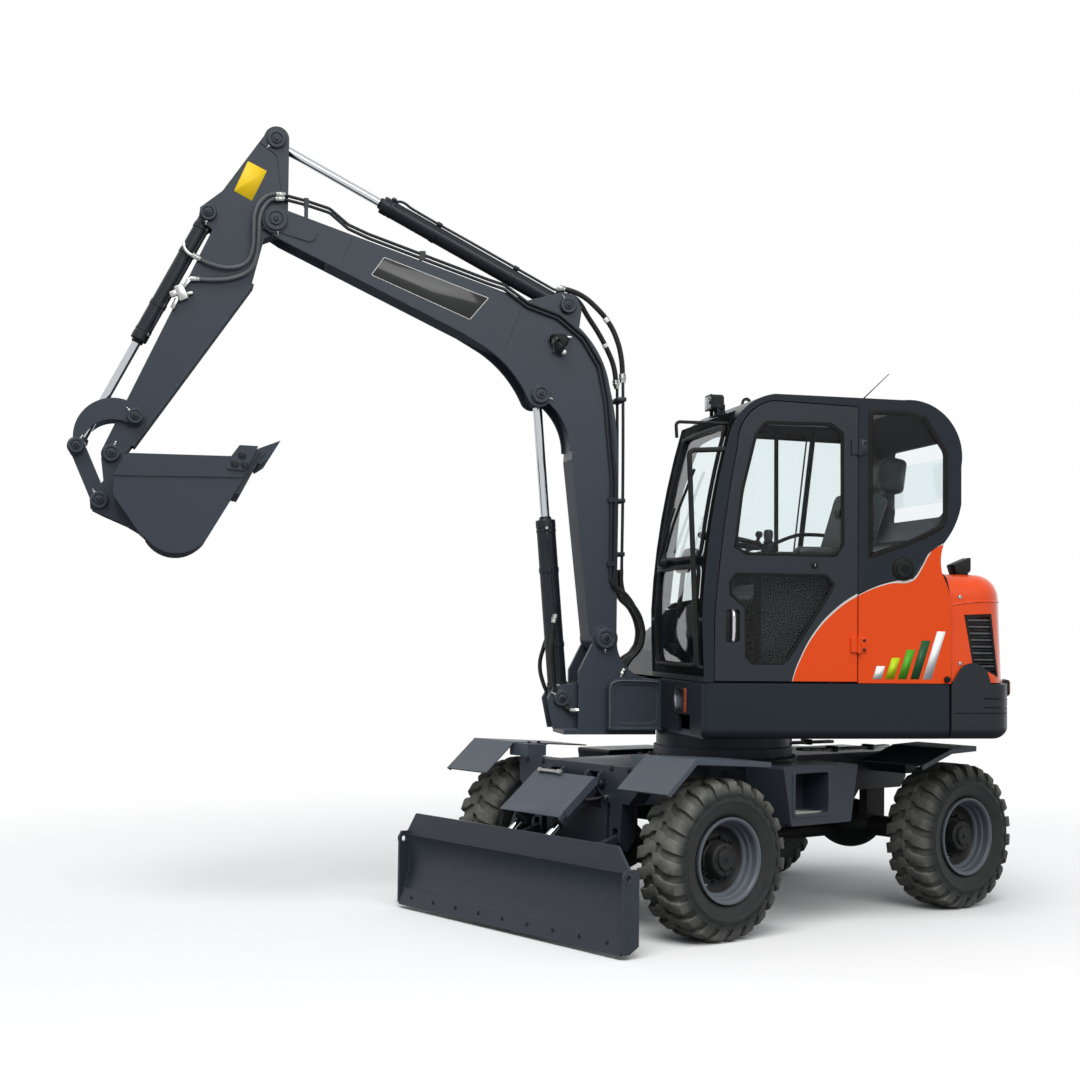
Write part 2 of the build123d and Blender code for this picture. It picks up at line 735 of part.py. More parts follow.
def cab_profile(inset=0):
    # side outline of the cab: bowed windscreen, flat roof, bulged back and the step over the hood
    with BuildLine() as edge:
        Line((399, deck_top + 4), (412, 1650))
        ThreePointArc((412, 1650), (364, 2176), (267, 2642))
        ThreePointArc((267, 2642), (172, 2788), (14, 2858))
        Line((14, 2858), (-720, 2852))
        ThreePointArc((-720, 2852), (-975, 2765), (-1057, 2500))
        Line((-1057, 2500), (-1057, 2293))
        ThreePointArc((-1057, 2293), (-1026, 2190), (-955, 2077))
        ThreePointArc((-955, 2077), (-878, 2030), (-779, 1884))
        ThreePointArc((-779, 1884), (-636, 1862), (-500, 1812))
        Line((-500, 1812), (-500, deck_top + 4))
        Line((-500, deck_top + 4), (399, deck_top + 4))
    make_face(edge.edges())
    if inset:
        offset(amount=-inset, kind=Kind.INTERSECTION, mode=Mode.REPLACE)


def upper_window():
    outline([(240, 2030), (170, 1989), (-336, 1989), (-381, 2050), (-376, 2660), (-304, 2713),
             (76, 2709), (131, 2634), (205, 2330)])


def lower_window():
    outline([(266, 1846), (229, 1896), (-280, 1896), (-330, 1846), (-309, 1792), (-73, 1437),
             (-38, 1408), (136, 1410), (175, 1450), (179, 1705), (263, 1776)])


def rear_quarter_window(inset=0):
    outline([(-520 - inset, 2790 - inset), (-747, 2790 - inset), (-849 + inset / 2, 2765 - inset),
             (-975 + inset, 2577), (-975 + inset, 2209 + inset / 2), (-945 + inset, 2154 + inset),
             (-779, 2075 + inset), (-520 - inset, 1985 + inset)])


def front_window(z_low, z_high, inset=0):
    with Locations(((side_y + cab_right_y) / 2, (z_low + z_high) / 2)):
        RectangleRounded(cab_width - 130 - 2 * inset, z_high - z_low, 40)


def right_window():
    outline([(330, 1700), (-380, 1840), (-560, 1980), (-900, 2130), (-960, 2250), (-950, 2640),
             (-860, 2740), (20, 2760), (150, 2690), (260, 2380)])


with BuildPart() as cab_shell:
    with BuildSketch(side_plane(side_y)):
        cab_profile()
    extrude(amount=cab_width)
    with BuildSketch(side_plane(side_y - wall)):
        cab_profile(wall)
    extrude(amount=cab_width - 2 * wall, mode=Mode.SUBTRACT)
    # door opening
    with BuildSketch(side_plane(side_y + 5)):
        with BuildLine():
            Line((346, deck_top), (346, 1650))
            ThreePointArc((346, 1650), (292, 2178), (226, 2580))
            ThreePointArc((226, 2580), (152, 2760), (21, 2823))
            Line((21, 2823), (door_hinge_x - 4, 2808))
            Line((door_hinge_x - 4, 2808), (door_hinge_x - 4, deck_top))
            Line((door_hinge_x - 4, deck_top), (346, deck_top))
        make_face()
    extrude(amount=wall + 6, mode=Mode.SUBTRACT)
    # rear quarter window, right window, windscreen in two panes and the back window
    with BuildSketch(side_plane(side_y + 5)):
        rear_quarter_window()
    extrude(amount=wall + 10, mode=Mode.SUBTRACT)
    # rebate that the painted side panel lies in
    with BuildSketch(side_plane(side_y + 5)):
        side_panel_profile(3)
    extrude(amount=panel_thickness + 7, mode=Mode.SUBTRACT)
    with BuildSketch(side_plane(cab_right_y + wall + 5)):
        right_window()
    extrude(amount=wall + 10, mode=Mode.SUBTRACT)
    with BuildSketch(front_plane(480)):
        front_window(1985, 2690)
        front_window(1400, 1930)
    extrude(amount=-300, mode=Mode.SUBTRACT)
    with BuildSketch(front_plane(-1100)):
        with Locations(((side_y + cab_right_y) / 2, 2440)):
            RectangleRounded(cab_width - 220, 420, 50)
    extrude(amount=200, mode=Mode.SUBTRACT)
save(cab_shell, "cab_shell")

glass = 6


def pane_band(depth, z_low, z_high):
    # a curved strip that follows the windscreen
    with BuildLine() as edge:
        if z_low < 1950:
            Line((400 - depth, z_low), (412 - depth, 1650))
            ThreePointArc((412 - depth, 1650), (409 - depth, 1790), (398 - depth, z_high))
            Line((398 - depth, z_high), (398 - depth - glass, z_high))
            ThreePointArc((398 - depth - glass, z_high), (409 - depth - glass, 1790),
                          (412 - depth - glass, 1650))
            Line((412 - depth - glass, 1650), (400 - depth - glass, z_low))
            Line((400 - depth - glass, z_low), (400 - depth, z_low))
        else:
            Line((392 - depth, z_low), (392 - depth - glass, z_low))
            ThreePointArc((392 - depth - glass, z_low), (341 - depth - glass, 2330),
                          (255 - depth - glass, z_high))
            Line((255 - depth - glass, z_high), (255 - depth, z_high))
            ThreePointArc((255 - depth, z_high), (341 - depth, 2330), (392 - depth, z_low))
    make_face(edge.edges())


with BuildPart() as cab_glass:
    pane_y = side_y - 67
    pane_width = cab_width - 134
    with BuildSketch(side_plane(pane_y)):
        pane_band(12, 1402, 1928)
    extrude(amount=pane_width)
    with BuildSketch(side_plane(pane_y)):
        pane_band(12, 1988, 2688)
    extrude(amount=pane_width)
    # round the corners of both windscreen panes
    with BuildSketch(front_plane(480)):
        front_window(1987, 2688, 2)
        front_window(1402, 1928, 2)
    extrude(amount=-300, mode=Mode.INTERSECT)
    with BuildSketch(side_plane(side_y - 6)):
        rear_quarter_window(3)
    extrude(amount=glass)
    with BuildSketch(side_plane(cab_right_y + 20)):
        outline([(326, 1704), (-378, 1843), (-558, 1983), (-897, 2133), (-957, 2252),
                 (-947, 2638), (-858, 2737), (20, 2757), (148, 2687), (257, 2380)])
    extrude(amount=glass)
    with BuildSketch(front_plane(-1045)):
        with Locations(((side_y + cab_right_y) / 2, 2440)):
            RectangleRounded(cab_width - 226, 240, 30)
    extrude(amount=glass)
save(cab_glass, "cab_glass")

# ---------------------------------------------------------------- cab door
with BuildPart() as cab_door:
    with BuildSketch(side_plane(side_y)):
        with BuildLine():
            Line((341, deck_top + 12), (341, 1650))
            ThreePointArc((341, 1650), (287, 2178), (221, 2578))
            ThreePointArc((221, 2578), (147, 2756), (21, 2818))
            Line((21, 2818), (door_hinge_x, 2803))
            Line((door_hinge_x, 2803), (door_hinge_x, deck_top + 12))
            Line((door_hinge_x, deck_top + 12), (341, deck_top + 12))
        make_face()
        Polygon((240, 2030), (170, 1989), (-336, 1989), (-381, 2050), (-376, 2660), (-304, 2713),
                (76, 2709), (131, 2634), (205, 2330), align=None, mode=Mode.SUBTRACT)
        Polygon((266, 1846), (229, 1896), (-280, 1896), (-330, 1846), (-309, 1792), (-73, 1437),
                (-38, 1408), (136, 1410), (175, 1450), (179, 1705), (263, 1776), align=None,
                mode=Mode.SUBTRACT)
    extrude(amount=wall - 5)
    # handle across a recess in the frame, and two hinge knuckles
    with BuildSketch(side_plane(side_y + 1)):
        with Locations((243, 1614)):
            RectangleRounded(76, 172, 16)
    extrude(amount=17, mode=Mode.SUBTRACT)
    with Locations((243, side_y - 2, 1614)):
        Box(22, 12, 174)
    for z in (1520, 2586):
        with Locations((door_hinge_x - 6, side_y + 12, z)):
            Cylinder(11, 90)
        with Locations((door_hinge_x + 20, side_y + 5, z)):
            Box(40, 12, 80)
save(cab_door, "cab_door")

with BuildPart() as door_glass:
    with BuildSketch(side_plane(side_y - 12)):
        upper_window()
        offset(amount=-2, mode=Mode.REPLACE)
    extrude(amount=glass)
    with BuildSketch(side_plane(side_y - 12)):
        lower_window()
        offset(amount=-2, mode=Mode.REPLACE)
    extrude(amount=glass)
save(door_glass, "door_glass")

# ---------------------------------------------------------------- inside the cab
seat_x, seat_y = -420, 410
floor_z = deck_top + 4 + wall
with BuildPart() as seat_base:
    with Locations((seat_x + 180, seat_y, (floor_z + 1690) / 2)):
        Box(360, 380, 1690 - floor_z)
save(seat_base, "seat_base")

with BuildPart() as seat_cushion:
    with Locations((seat_x + 215, seat_y, 1766)):
        Box(480, 500, 150)
    fillet(seat_cushion.edges(), radius=40)
save(seat_cushion, "seat_cushion")

with BuildPart() as seat_backrest:
    with BuildSketch(side_plane(seat_y + 240)):
        outline([(-448, 1915), (-640, 2560), (-540, 2590), (-330, 1905)])
    extrude(amount=480)
    fillet(seat_backrest.edges(), radius=35)
save(seat_backrest, "seat_backrest")

with BuildPart() as control_consoles:
    for y in (seat_y - 340, seat_y + 340):
        with Locations((seat_x + 250, y, (floor_z + 1960) / 2)):
            Box(440, 130, 1960 - floor_z)
        with Locations((seat_x + 410, y, 2040)):
            Cylinder(22, 180)
save(control_consoles, "control_consoles")

with BuildPart() as steering_column:
    column = Plane(origin=(250, seat_y, floor_z + 16), x_dir=(0, 1, 0), z_dir=(-0.3, 0, 1))
    with BuildSketch(column):
        Circle(45)
    extrude(amount=620)
    with BuildSketch(column.offset(620)):
        Circle(180)
        Circle(155, mode=Mode.SUBTRACT)
        Rectangle(330, 30)
    extrude(amount=24)
save(steering_column, "steering_column")

# tubes in front of the door post: (tube radius, corner radius, corners)
cab_rails = (
    (14, 28, [(402, side_y - 16, 1392), (434, side_y - 16, 1392), (487, side_y - 16, 2540),
              (290, side_y - 16, 2552)]),
    (9, 22, [(240, side_y - 70, 2696), (546, side_y - 70, 2696), (540, side_y - 70, 2610)]),
)
with BuildPart() as cab_fittings:
    for tube_radius, bend_radius, corners in cab_rails:
        with BuildLine() as rail:
            FilletPolyline(*corners, radius=bend_radius)
        with BuildSketch(Plane(origin=rail.line @ 0, z_dir=rail.line % 0)):
            Circle(tube_radius)
        sweep(path=rail.line)
    # work lamp on its bracket at the front of the roof, and the lamp on the cab's back
    with Locations((222, 500, 2850)):
        Box(62, 120, 84)
    fillet(cab_fittings.edges().filter_by(Axis.X).filter_by(lambda e: e.center().Z > 2790),
           radius=14)
    with Locations((182, 500, 2812)):
        Box(30, 44, 60)
    with Locations((-1080, 750, 2565)):
        Box(46, 90, 54)
    # lifting eye at the right edge of the roof
    with BuildSketch(side_plane(cab_right_y + 36)):
        with BuildLine():
            Line((-200, 2856), (-178, 2940))
            ThreePointArc((-178, 2940), (-150, 2964), (-122, 2940))
            Line((-122, 2940), (-100, 2856))
            Line((-100, 2856), (-200, 2856))
        make_face()
        with Locations((-150, 2930)):
            Circle(16, mode=Mode.SUBTRACT)
    extrude(amount=12)
    # rubber stop that the opened door swings towards
    with BuildSketch(side_plane(side_y + 22)):
        with Locations((-719, 1933)):
            Circle(42)
    extrude(amount=22, taper=-12)
    # all of them seat on the cab
    add(cab_shell.part, mode=Mode.SUBTRACT)
save(cab_fittings, "cab_fittings")

# ---------------------------------------------------------------- boom
with BuildPart() as boom:
    with BuildSketch(side_plane(boom_y + boom_half_width)):
        with BuildLine():
            Line((800, 1532), (917, 2560))
            ThreePointArc((917, 2560), (1055, 2990), (1400, 3186))
            Line((1400, 3186), (2600, 3738))
            Line((2600, 3738), (2700, 3800))
            Line((2700, 3800), (2700, 3880))
            Line((2700, 3880), (2600, 3915))
            Line((2600, 3915), (1199, 3467))
            ThreePointArc((1199, 3467), (885, 3328), (697, 2991))
            ThreePointArc((697, 2991), (655, 2760), (640, 2500))
            Line((640, 2500), (640, 1532))
            Line((640, 1532), (800, 1532))
        make_face()
    extrude(amount=2 * boom_half_width)
    bar_across(foot_pin, 80, boom_y - boom_half_width, boom_y + boom_half_width)
    bar_across(foot_pin, pin_radius + running_gap, boom_y - 300, boom_y + 300, Mode.SUBTRACT)
    # doubler plates on both cheeks of the tip, rounded at the back
    for y_high in (boom_y + boom_half_width + 8, boom_y - boom_half_width):
        with BuildSketch(side_plane(y_high)):
            outline([(2640, 3790), (2640, 3905), (2589, 3884), (2420, 3832), (2396, 3800),
                     (2404, 3752), (2440, 3732), (2587, 3772)])
            fillet(vertices().sort_by(Axis.X)[:4], radius=22)
        extrude(amount=8)
    # fork at the tip: a slot that the arm's head turns in, between two cheeks
    with BuildSketch(side_plane(boom_y + arm_half_width + 8)):
        outline([(2330, 3600), (2430, 3980), (2900, 3980), (2900, 3600)])
    extrude(amount=2 * (arm_half_width + 8), mode=Mode.SUBTRACT)
    pair_across(arm_pin, 75, arm_half_width + 8, boom_half_width + 12)
    bar_across(arm_pin, pin_radius, boom_y - boom_half_width, boom_y + boom_half_width)
    # lugs on the back of the bend for the arm's cylinder
    for y_high in (boom_y + 82, boom_y - 58):
        with BuildSketch(side_plane(y_high)):
            outline([(880, 3280), (860, 3440), (900, 3520), (980, 3530), (1190, 3470),
                     (1150, 3400)])
        extrude(amount=24)
    bar_across(arm_cylinder_base, pin_radius, boom_y - 80, boom_y + 80)
    pair_across(arm_cylinder_base, 50, 80, 96)
    # lugs in the crook for the boom's cylinder: crescent plates in line with the side plates
    bar_across(boom_cylinder_eye, 96, boom_y - 52, boom_y + 52, Mode.SUBTRACT)
    for y_high in (boom_y + boom_half_width, boom_y - boom_half_width + 22):
        with BuildSketch(side_plane(y_high)):
            with BuildLine():
                Line((1560, 3259), (1476, 3212))
                ThreePointArc((1476, 3212), (1296, 3075), (1180, 2905))
                ThreePointArc((1180, 2905), (1115, 2855), (1056, 2880))
                ThreePointArc((1056, 2880), (985, 2800), (930, 2610))
                Polyline((930, 2610), (880, 2610), (980, 2960), (1250, 3200), (1560, 3259))
            make_face()
        extrude(amount=22)
    pair_across(boom_cylinder_eye, 52, 50, 92)
    pair_across(boom_cylinder_eye, 56, boom_half_width, boom_half_width + 12)
    # post for the pipes' clamp at the tip, and the bracket for the work lamp, on the left side
    with Locations((2462, boom_y + boom_half_width + 4, 3872)):
        Box(22, 8, 112)
    with Locations((1010, boom_y + boom_half_width + 8, 3215)):
        Box(60, 16, 90)
save(boom, "boom")


# Two hydraulic pipes, one under the other: from the post clamp at the boom's tip along the top
# edge, over onto the left side at the bend, and down beside the back edge to the foot.
bend_centre, bend_radius = (1264, 2896), 575
pipe_radius, pipe_pitch = 9, 24
pipe_y_top, pipe_y_side = boom_y + 110, boom_y + 127


def boom_top(x):
    return 3467 + 0.32 * (x - 1199)


def pipe_route(depth):
    # corners of one pipe's centre line, `depth` below or inside the outermost line
    corners = [(2608, pipe_y_top, 3996 - depth), (2462, pipe_y_top, 3966 - depth),
               (2330, pipe_y_top, 3930 - depth), (2225, pipe_y_top, boom_top(2225) + 50 - depth),
               (2110, pipe_y_top, boom_top(2110) + 40 - depth),
               (1420, pipe_y_top, boom_top(1420) + 38 - depth),
               (1330, pipe_y_side, boom_top(1330) + 38 - depth)]
    for turn in range(98, 180, 20):
        reach = bend_radius - 16 - depth
        corners.append((bend_centre[0] + reach * cos(radians(turn)), pipe_y_side,
                        bend_centre[1] + reach * sin(radians(turn))))
    return corners + [(658 + depth, pipe_y_side, 2450), (659 + depth, pipe_y_side, 1860)]


with BuildPart() as boom_pipes:
    for depth in (0, pipe_pitch):
        with BuildLine() as pipe:
            FilletPolyline(*pipe_route(depth), radius=60)
        with BuildSketch(Plane(origin=pipe.line @ 0, z_dir=pipe.line % 0)):
            Circle(pipe_radius)
        sweep(path=pipe.line)
    # clamp blocks: on the post at the tip, on the top edge and beside the back edge
    for x, y, z, width, height in (
        (2462, pipe_y_top, 3954, 26, 52),
        (1800, pipe_y_top, boom_top(1800) + 32, 34, 52),
        (676, pipe_y_side + 1, 2330, 52, 26),
        (677, pipe_y_side + 1, 1960, 52, 26),
    ):
        with Locations((x, y, z)):
            Box(width, 24, height)
save(boom_pipes, "boom_pipes")

cylinders = {
    # node: (base pin, rod pin, barrel length, barrel radius, rod radius, rod length, half width)
    "boom_cylinder": (boom_cylinder_base, boom_cylinder_eye, 1025, 55, 27, 860, 43),
    "arm_cylinder": (arm_cylinder_base, arm_cylinder_eye, 1205, 50, 25, 1040, 43),
    "bucket_cylinder": (bucket_cylinder_base, link_pin, 800, 45, 25, 760, 44),
}
for name, (base, eye, barrel_length, radius, rod_radius, rod_length, half) in cylinders.items():
    with BuildPart() as barrel:
        bar_across(base, radius + 4, boom_y - half, boom_y + half)
        with BuildSketch(along(base, eye)):
            Circle(radius)
        extrude(amount=barrel_length)
        bar_across(base, pin_radius + running_gap, boom_y - radius - 5, boom_y + radius + 5,
                   Mode.SUBTRACT)
        with BuildSketch(along(base, eye).offset(barrel_length)):
            Circle(rod_radius + 3)
        extrude(amount=110 - barrel_length, mode=Mode.SUBTRACT)
    save(barrel, f"{name}_barrel")
    with BuildPart() as rod:
        bar_across(eye, 48, boom_y - 40, boom_y + 40)
        with BuildSketch(along(base, eye).offset(span(base, eye))):
            Circle(rod_radius)
        extrude(amount=-rod_length)
        bar_across(eye, pin_radius + 2, boom_y - half - 1, boom_y + half + 1, Mode.SUBTRACT)
    save(rod, f"{name}_rod")

# ---------------------------------------------------------------- arm
with BuildPart() as arm:
    with BuildSketch(side_plane(boom_y + arm_half_width)):
        with BuildLine():
            Polyline((2700, 4330), (2925, 4000), (3046, 3900), (3040, 3830), (2975, 3780),
                     (3541, 2538))
            ThreePointArc((3541, 2538), (3501, 2453), (3436, 2489))
            Polyline((3436, 2489), (3412, 2520), (2753, 3488), (2690, 3745))
            Line((2690, 3745), (2560, 3800))
            Line((2560, 3800), (2562, 4310))
            ThreePointArc((2562, 4310), (2620, 4382), (2700, 4330))
        make_face()
    extrude(amount=2 * arm_half_width)
    # doubler plates on the head, and the plate along the back edge that overlaps the sides
    for y_high in (boom_y + arm_half_width + 6, boom_y - arm_half_width):
        with BuildSketch(side_plane(y_high)):
            with BuildLine():
                Polyline((2725, 4286), (2657, 4240), (2626, 4212), (2600, 4010), (2561, 3990),
                         (2562, 4310))
                ThreePointArc((2562, 4310), (2620, 4382), (2700, 4330))
                Line((2700, 4330), (2725, 4286))
            make_face()
        extrude(amount=6)
    with BuildSketch(side_plane(boom_y + arm_half_width + 6)):
        outline([(2753, 3490), (2741, 3482), (3373, 2552), (3385, 2560)])
    extrude(amount=2 * arm_half_width + 12)
    bar_across(arm_pin, pin_radius + running_gap, boom_y - 200, boom_y + 200, Mode.SUBTRACT)
    # head: slot for the arm cylinder's rod eye
    with BuildSketch(side_plane(boom_y + 46)):
        outline([(2540, 4140), (2540, 4420), (2760, 4420), (2760, 4250), (2680, 4180)])
    extrude(amount=92, mode=Mode.SUBTRACT)
    pair_across(arm_cylinder_eye, 55, arm_half_width, arm_half_width + 14)
    # front: slot for the bucket cylinder's base
    with BuildSketch(side_plane(boom_y + 50)):
        outline([(2900, 3960), (3150, 4060), (3150, 3500), (3060, 3500), (2940, 3790)])
    extrude(amount=100, mode=Mode.SUBTRACT)
    bar_across(bucket_cylinder_base, pin_radius, boom_y - arm_half_width, boom_y + arm_half_width)
    pair_across(bucket_cylinder_base, 48, arm_half_width, arm_half_width + 14)
    # bosses for the guide link and the bucket
    bar_across(guide_pin, 50, boom_y - 92, boom_y + 92)
    bar_across(bucket_pin, 52, boom_y - 97, boom_y + 97)
    bar_across(guide_pin, pin_radius + running_gap, boom_y - 200, boom_y + 200, Mode.SUBTRACT)
    bar_across(bucket_pin, pin_radius + running_gap, boom_y - 200, boom_y + 200, Mode.SUBTRACT)
save(arm, "arm")

# ---------------------------------------------------------------- bucket linkage
with BuildPart() as guide_link:
    # a bowed plate each side of the arm, on one pin through the arm's boss
    for y_high in (boom_y + 115, boom_y - 95):
        with BuildSketch(side_plane(y_high)):
            with BuildLine():
                ThreePointArc((guide_pin[0] - 34, guide_pin[1] + 38), (3500, 2815),
                              (link_pin[0] + 20, link_pin[1] + 46))
                ThreePointArc((link_pin[0] + 20, link_pin[1] + 46), (link_pin[0] + 48, 2530),
                              (link_pin[0] - 20, link_pin[1] - 46))
                ThreePointArc((link_pin[0] - 20, link_pin[1] - 46), (3535, 2690),
                              (guide_pin[0] + 26, guide_pin[1] - 44))
                ThreePointArc((guide_pin[0] + 26, guide_pin[1] - 44),
                              (guide_pin[0] - 50, guide_pin[1] - 8),
                              (guide_pin[0] - 34, guide_pin[1] + 38))
            make_face()
        extrude(amount=20)
    bar_across(guide_pin, pin_radius, boom_y - 115, boom_y + 115)
    pair_across(guide_pin, 46, 115, 132)
    pair_across(link_pin, 46, 95, 132)
    pair_across(link_pin, pin_radius, 58, 115)
save(guide_link, "guide_link")

with BuildPart() as push_link:
    for y_high in (boom_y + 90, boom_y - 65):
        with BuildSketch(side_plane(y_high)):
            outline([(link_pin[0] - 40, link_pin[1] + 16), (link_pin[0] + 40, link_pin[1] - 16),
                     (push_pin[0] + 40, push_pin[1] - 16), (push_pin[0] - 40, push_pin[1] + 16)])
        extrude(amount=25)
    pair_across(link_pin, 44, 65, 90)
    bar_across(push_pin, 44, boom_y - 90, boom_y + 90)
    bar_across(link_pin, pin_radius + running_gap, boom_y - 95, boom_y + 95, Mode.SUBTRACT)
save(push_link, "push_link")

# ---------------------------------------------------------------- bucket
with BuildPart() as bucket:
    bucket_left = boom_y + bucket_half_width

    def bucket_profile(inset):
        with BuildLine() as edge:
            Line((3400 - inset, 2494), (2730 + inset, 2494))
            Line((2730 + inset, 2494), (2985 + inset, 2035))
            ThreePointArc((2985 + inset, 2035), (3119, 1966 + inset), (3302, 2055 + inset))
            Line((3302, 2055 + inset), (3340, 2088 + inset))
            Line((3340, 2088 + inset), (3470 - inset, 2270))
            Line((3470 - inset, 2270), (3470 - inset, 2380))
            Line((3470 - inset, 2380), (3400 - inset, 2494))
        make_face(edge.edges())

    with BuildSketch(side_plane(bucket_left)):
        bucket_profile(0)
    extrude(amount=2 * bucket_half_width)
    with BuildSketch(side_plane(bucket_left - 14)):
        bucket_profile(16)
    extrude(amount=2 * bucket_half_width - 28, mode=Mode.SUBTRACT)
    # ears for the two pins
    for y_high in (boom_y + 127, boom_y - 100):
        with BuildSketch(side_plane(y_high)):
            outline([(3440, 2540), (3530, 2550), (3545, 2480), (3530, 2360), (3600, 2270),
                     (3595, 2205), (3540, 2178), (3404, 2120), (3310, 2065), (3420, 2240),
                     (3450, 2380), (3400, 2480)])
        extrude(amount=27)
    bar_across(bucket_pin, pin_radius, boom_y - 127, boom_y + 127)
    pair_across(bucket_pin, 50, 127, 144)
    pair_across(push_pin, 50, 100, 144)
    # thicker bands along the tops of the sides, with a cutter bolted on each
    for y_high in (boom_y + bucket_half_width + 8, boom_y - bucket_half_width):
        with BuildSketch(side_plane(y_high)):
            outline([(3400, 2494), (2730, 2494), (2794, 2380), (3470, 2372), (3470, 2380)])
        extrude(amount=8)
    for y_high in (boom_y + bucket_half_width + 22, boom_y - bucket_half_width - 6):
        with BuildSketch(side_plane(y_high)):
            outline([(2712, 2551), (2812, 2554), (2858, 2489), (2879, 2423), (2776, 2416),
                     (2748, 2475)])
            fillet(vertices().sort_by(Axis.Y)[:2], radius=10)
        extrude(amount=16)
    # lip plate, and five teeth: an adapter on the lip with a wedge point socketed over it
    with BuildSketch(side_plane(bucket_left)):
        outline([(2985, 2035), (2999, 2043), (2748, 2494), (2700, 2530), (2718, 2494)])
    extrude(amount=2 * bucket_half_width)
    for tooth in range(tooth_count):
        y = boom_y + (tooth - (tooth_count - 1) / 2) * tooth_pitch
        for half, points in (
            (30, [(2850, 2300), (2872, 2312), (2752, 2520), (2690, 2548), (2668, 2520),
                  (2700, 2486), (2800, 2290)]),
            (24, [(2742, 2505), (2722, 2538), (2590, 2590), (2650, 2490), (2700, 2455)]),
        ):
            with BuildSketch(side_plane(y + half)):
                outline(points)
            extrude(amount=2 * half)
    # wear strips round the outside of the curved back
    for y in (boom_y - 240, boom_y - 20, boom_y + 200):
        with BuildSketch(side_plane(y + 40)):
            with BuildLine():
                ThreePointArc((2990, 2030), (3119, 1958), (3305, 2047))
                Line((3305, 2047), (3300, 2060))
                ThreePointArc((3300, 2060), (3119, 1972), (2996, 2040))
                Line((2996, 2040), (2990, 2030))
            make_face()
        extrude(amount=40)
save(bucket, "bucket")
print("built")
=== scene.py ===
import json
from math import atan2, cos, pi, radians, sin
import bpy
from mathutils import Matrix, Vector


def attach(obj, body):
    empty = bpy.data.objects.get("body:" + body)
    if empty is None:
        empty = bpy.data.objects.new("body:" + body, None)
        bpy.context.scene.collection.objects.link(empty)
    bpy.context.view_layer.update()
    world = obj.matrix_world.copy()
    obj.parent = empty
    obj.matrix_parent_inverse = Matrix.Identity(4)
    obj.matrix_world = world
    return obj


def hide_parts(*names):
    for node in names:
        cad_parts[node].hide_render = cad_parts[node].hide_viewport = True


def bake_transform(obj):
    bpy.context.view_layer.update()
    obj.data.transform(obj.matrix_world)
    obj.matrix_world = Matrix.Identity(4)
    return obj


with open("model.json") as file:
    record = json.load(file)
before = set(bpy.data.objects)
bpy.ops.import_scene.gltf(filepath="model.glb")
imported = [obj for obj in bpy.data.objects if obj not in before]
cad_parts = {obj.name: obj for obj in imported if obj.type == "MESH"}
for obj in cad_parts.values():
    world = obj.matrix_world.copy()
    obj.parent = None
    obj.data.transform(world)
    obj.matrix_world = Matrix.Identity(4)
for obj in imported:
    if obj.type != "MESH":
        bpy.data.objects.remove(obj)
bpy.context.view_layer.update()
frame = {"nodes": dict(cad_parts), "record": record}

node = frame["nodes"]
joint = {entry["name"]: entry for entry in frame["record"]["behaviour"]["joints"]}
pin = {name: Vector(entry["pos_m"]) for name, entry in joint.items() if "pos_m" in entry}
wheels = ("front_left", "front_right", "rear_left", "rear_right")
acrossChassis = Vector(joint["rear_left_spin"]["axis"])
heading = atan2(acrossChassis[1], acrossChassis[0]) - pi / 2
upward = Vector((0, 0, 1))
print("frame loaded")

# camera and light
camera = {"place": (3.161, 9.848, 1.616), "yaw": 11.828, "pitch": 2.697, "roll": 0.737, "lens": 58.74,
    "sensor": 36, "reach": 200}


def aimCamera(setup):
    bpy.ops.object.camera_add(location=setup["place"])
    made = bpy.context.object
    yaw, pitch, roll = (radians(setup[key]) for key in ("yaw", "pitch", "roll"))
    turn = Matrix.Rotation(pi - yaw, 4, "Z") @ Matrix.Rotation(pi / 2 + pitch, 4, "X")
    made.rotation_euler = (turn @ Matrix.Rotation(roll, 4, "Z")).to_euler()
    made.data.lens = setup["lens"]
    made.data.sensor_width = setup["sensor"]
    made.data.clip_end = setup["reach"]
    bpy.context.scene.camera = made


def srgb(code):
    # a hex colour as the linear numbers that shaders take
    channels = [int(code[i:i + 2], 16) / 255 for i in (1, 3, 5)]
    return [c / 12.92 if c < 0.04045 else ((c + 0.055) / 1.055) ** 2.4 for c in channels] + [1]


def addNode(tree, kind, settings=None):
    # settings go to the node's own fields or to its sockets; the socket of another node is linked
    made = tree.nodes.new("ShaderNode" + kind)
    for key, value in (settings or {}).items():
        if isinstance(value, bpy.types.NodeSocket):
            tree.links.new(value, made.inputs[key])
        elif isinstance(key, str) and hasattr(made, key):
            setattr(made, key, value)
        else:
            made.inputs[key].default_value = value
    return made


def maths(tree, operation, *terms):
    return addNode(tree, "Math", {"operation": operation, **dict(enumerate(terms))}).outputs[0]


def vectorMaths(tree, operation, *terms):
    made = addNode(tree, "VectorMath", {"operation": operation, **dict(enumerate(terms))})
    return made.outputs["Value" if operation in ("LENGTH", "DOT_PRODUCT") else "Vector"]


def remap(tree, value, low, high, toLow=0.0, toHigh=1.0):
    return addNode(tree, "MapRange", {"Value": value, "From Min": low, "From Max": high, "To Min": toLow,
        "To Max": toHigh}).outputs[0]


def noise(tree, place, scale, detail, roughness=0.5, distortion=0.0):
    return addNode(tree, "TexNoise", {"Vector": place, "Scale": scale, "Detail": detail,
        "Roughness": roughness, "Distortion": distortion}).outputs["Fac"]


def mixTones(tree, share, low, high):
    # low and high are hex colours or sockets
    low, high = (srgb(tone) if isinstance(tone, str) else tone for tone in (low, high))
    return addNode(tree, "Mix", {"data_type": "RGBA", 0: share, 6: low, 7: high}).outputs[2]


def mixShaders(tree, share, low, high):
    return addNode(tree, "MixShader", {0: share, 1: low.outputs[0], 2: high.outputs[0]})


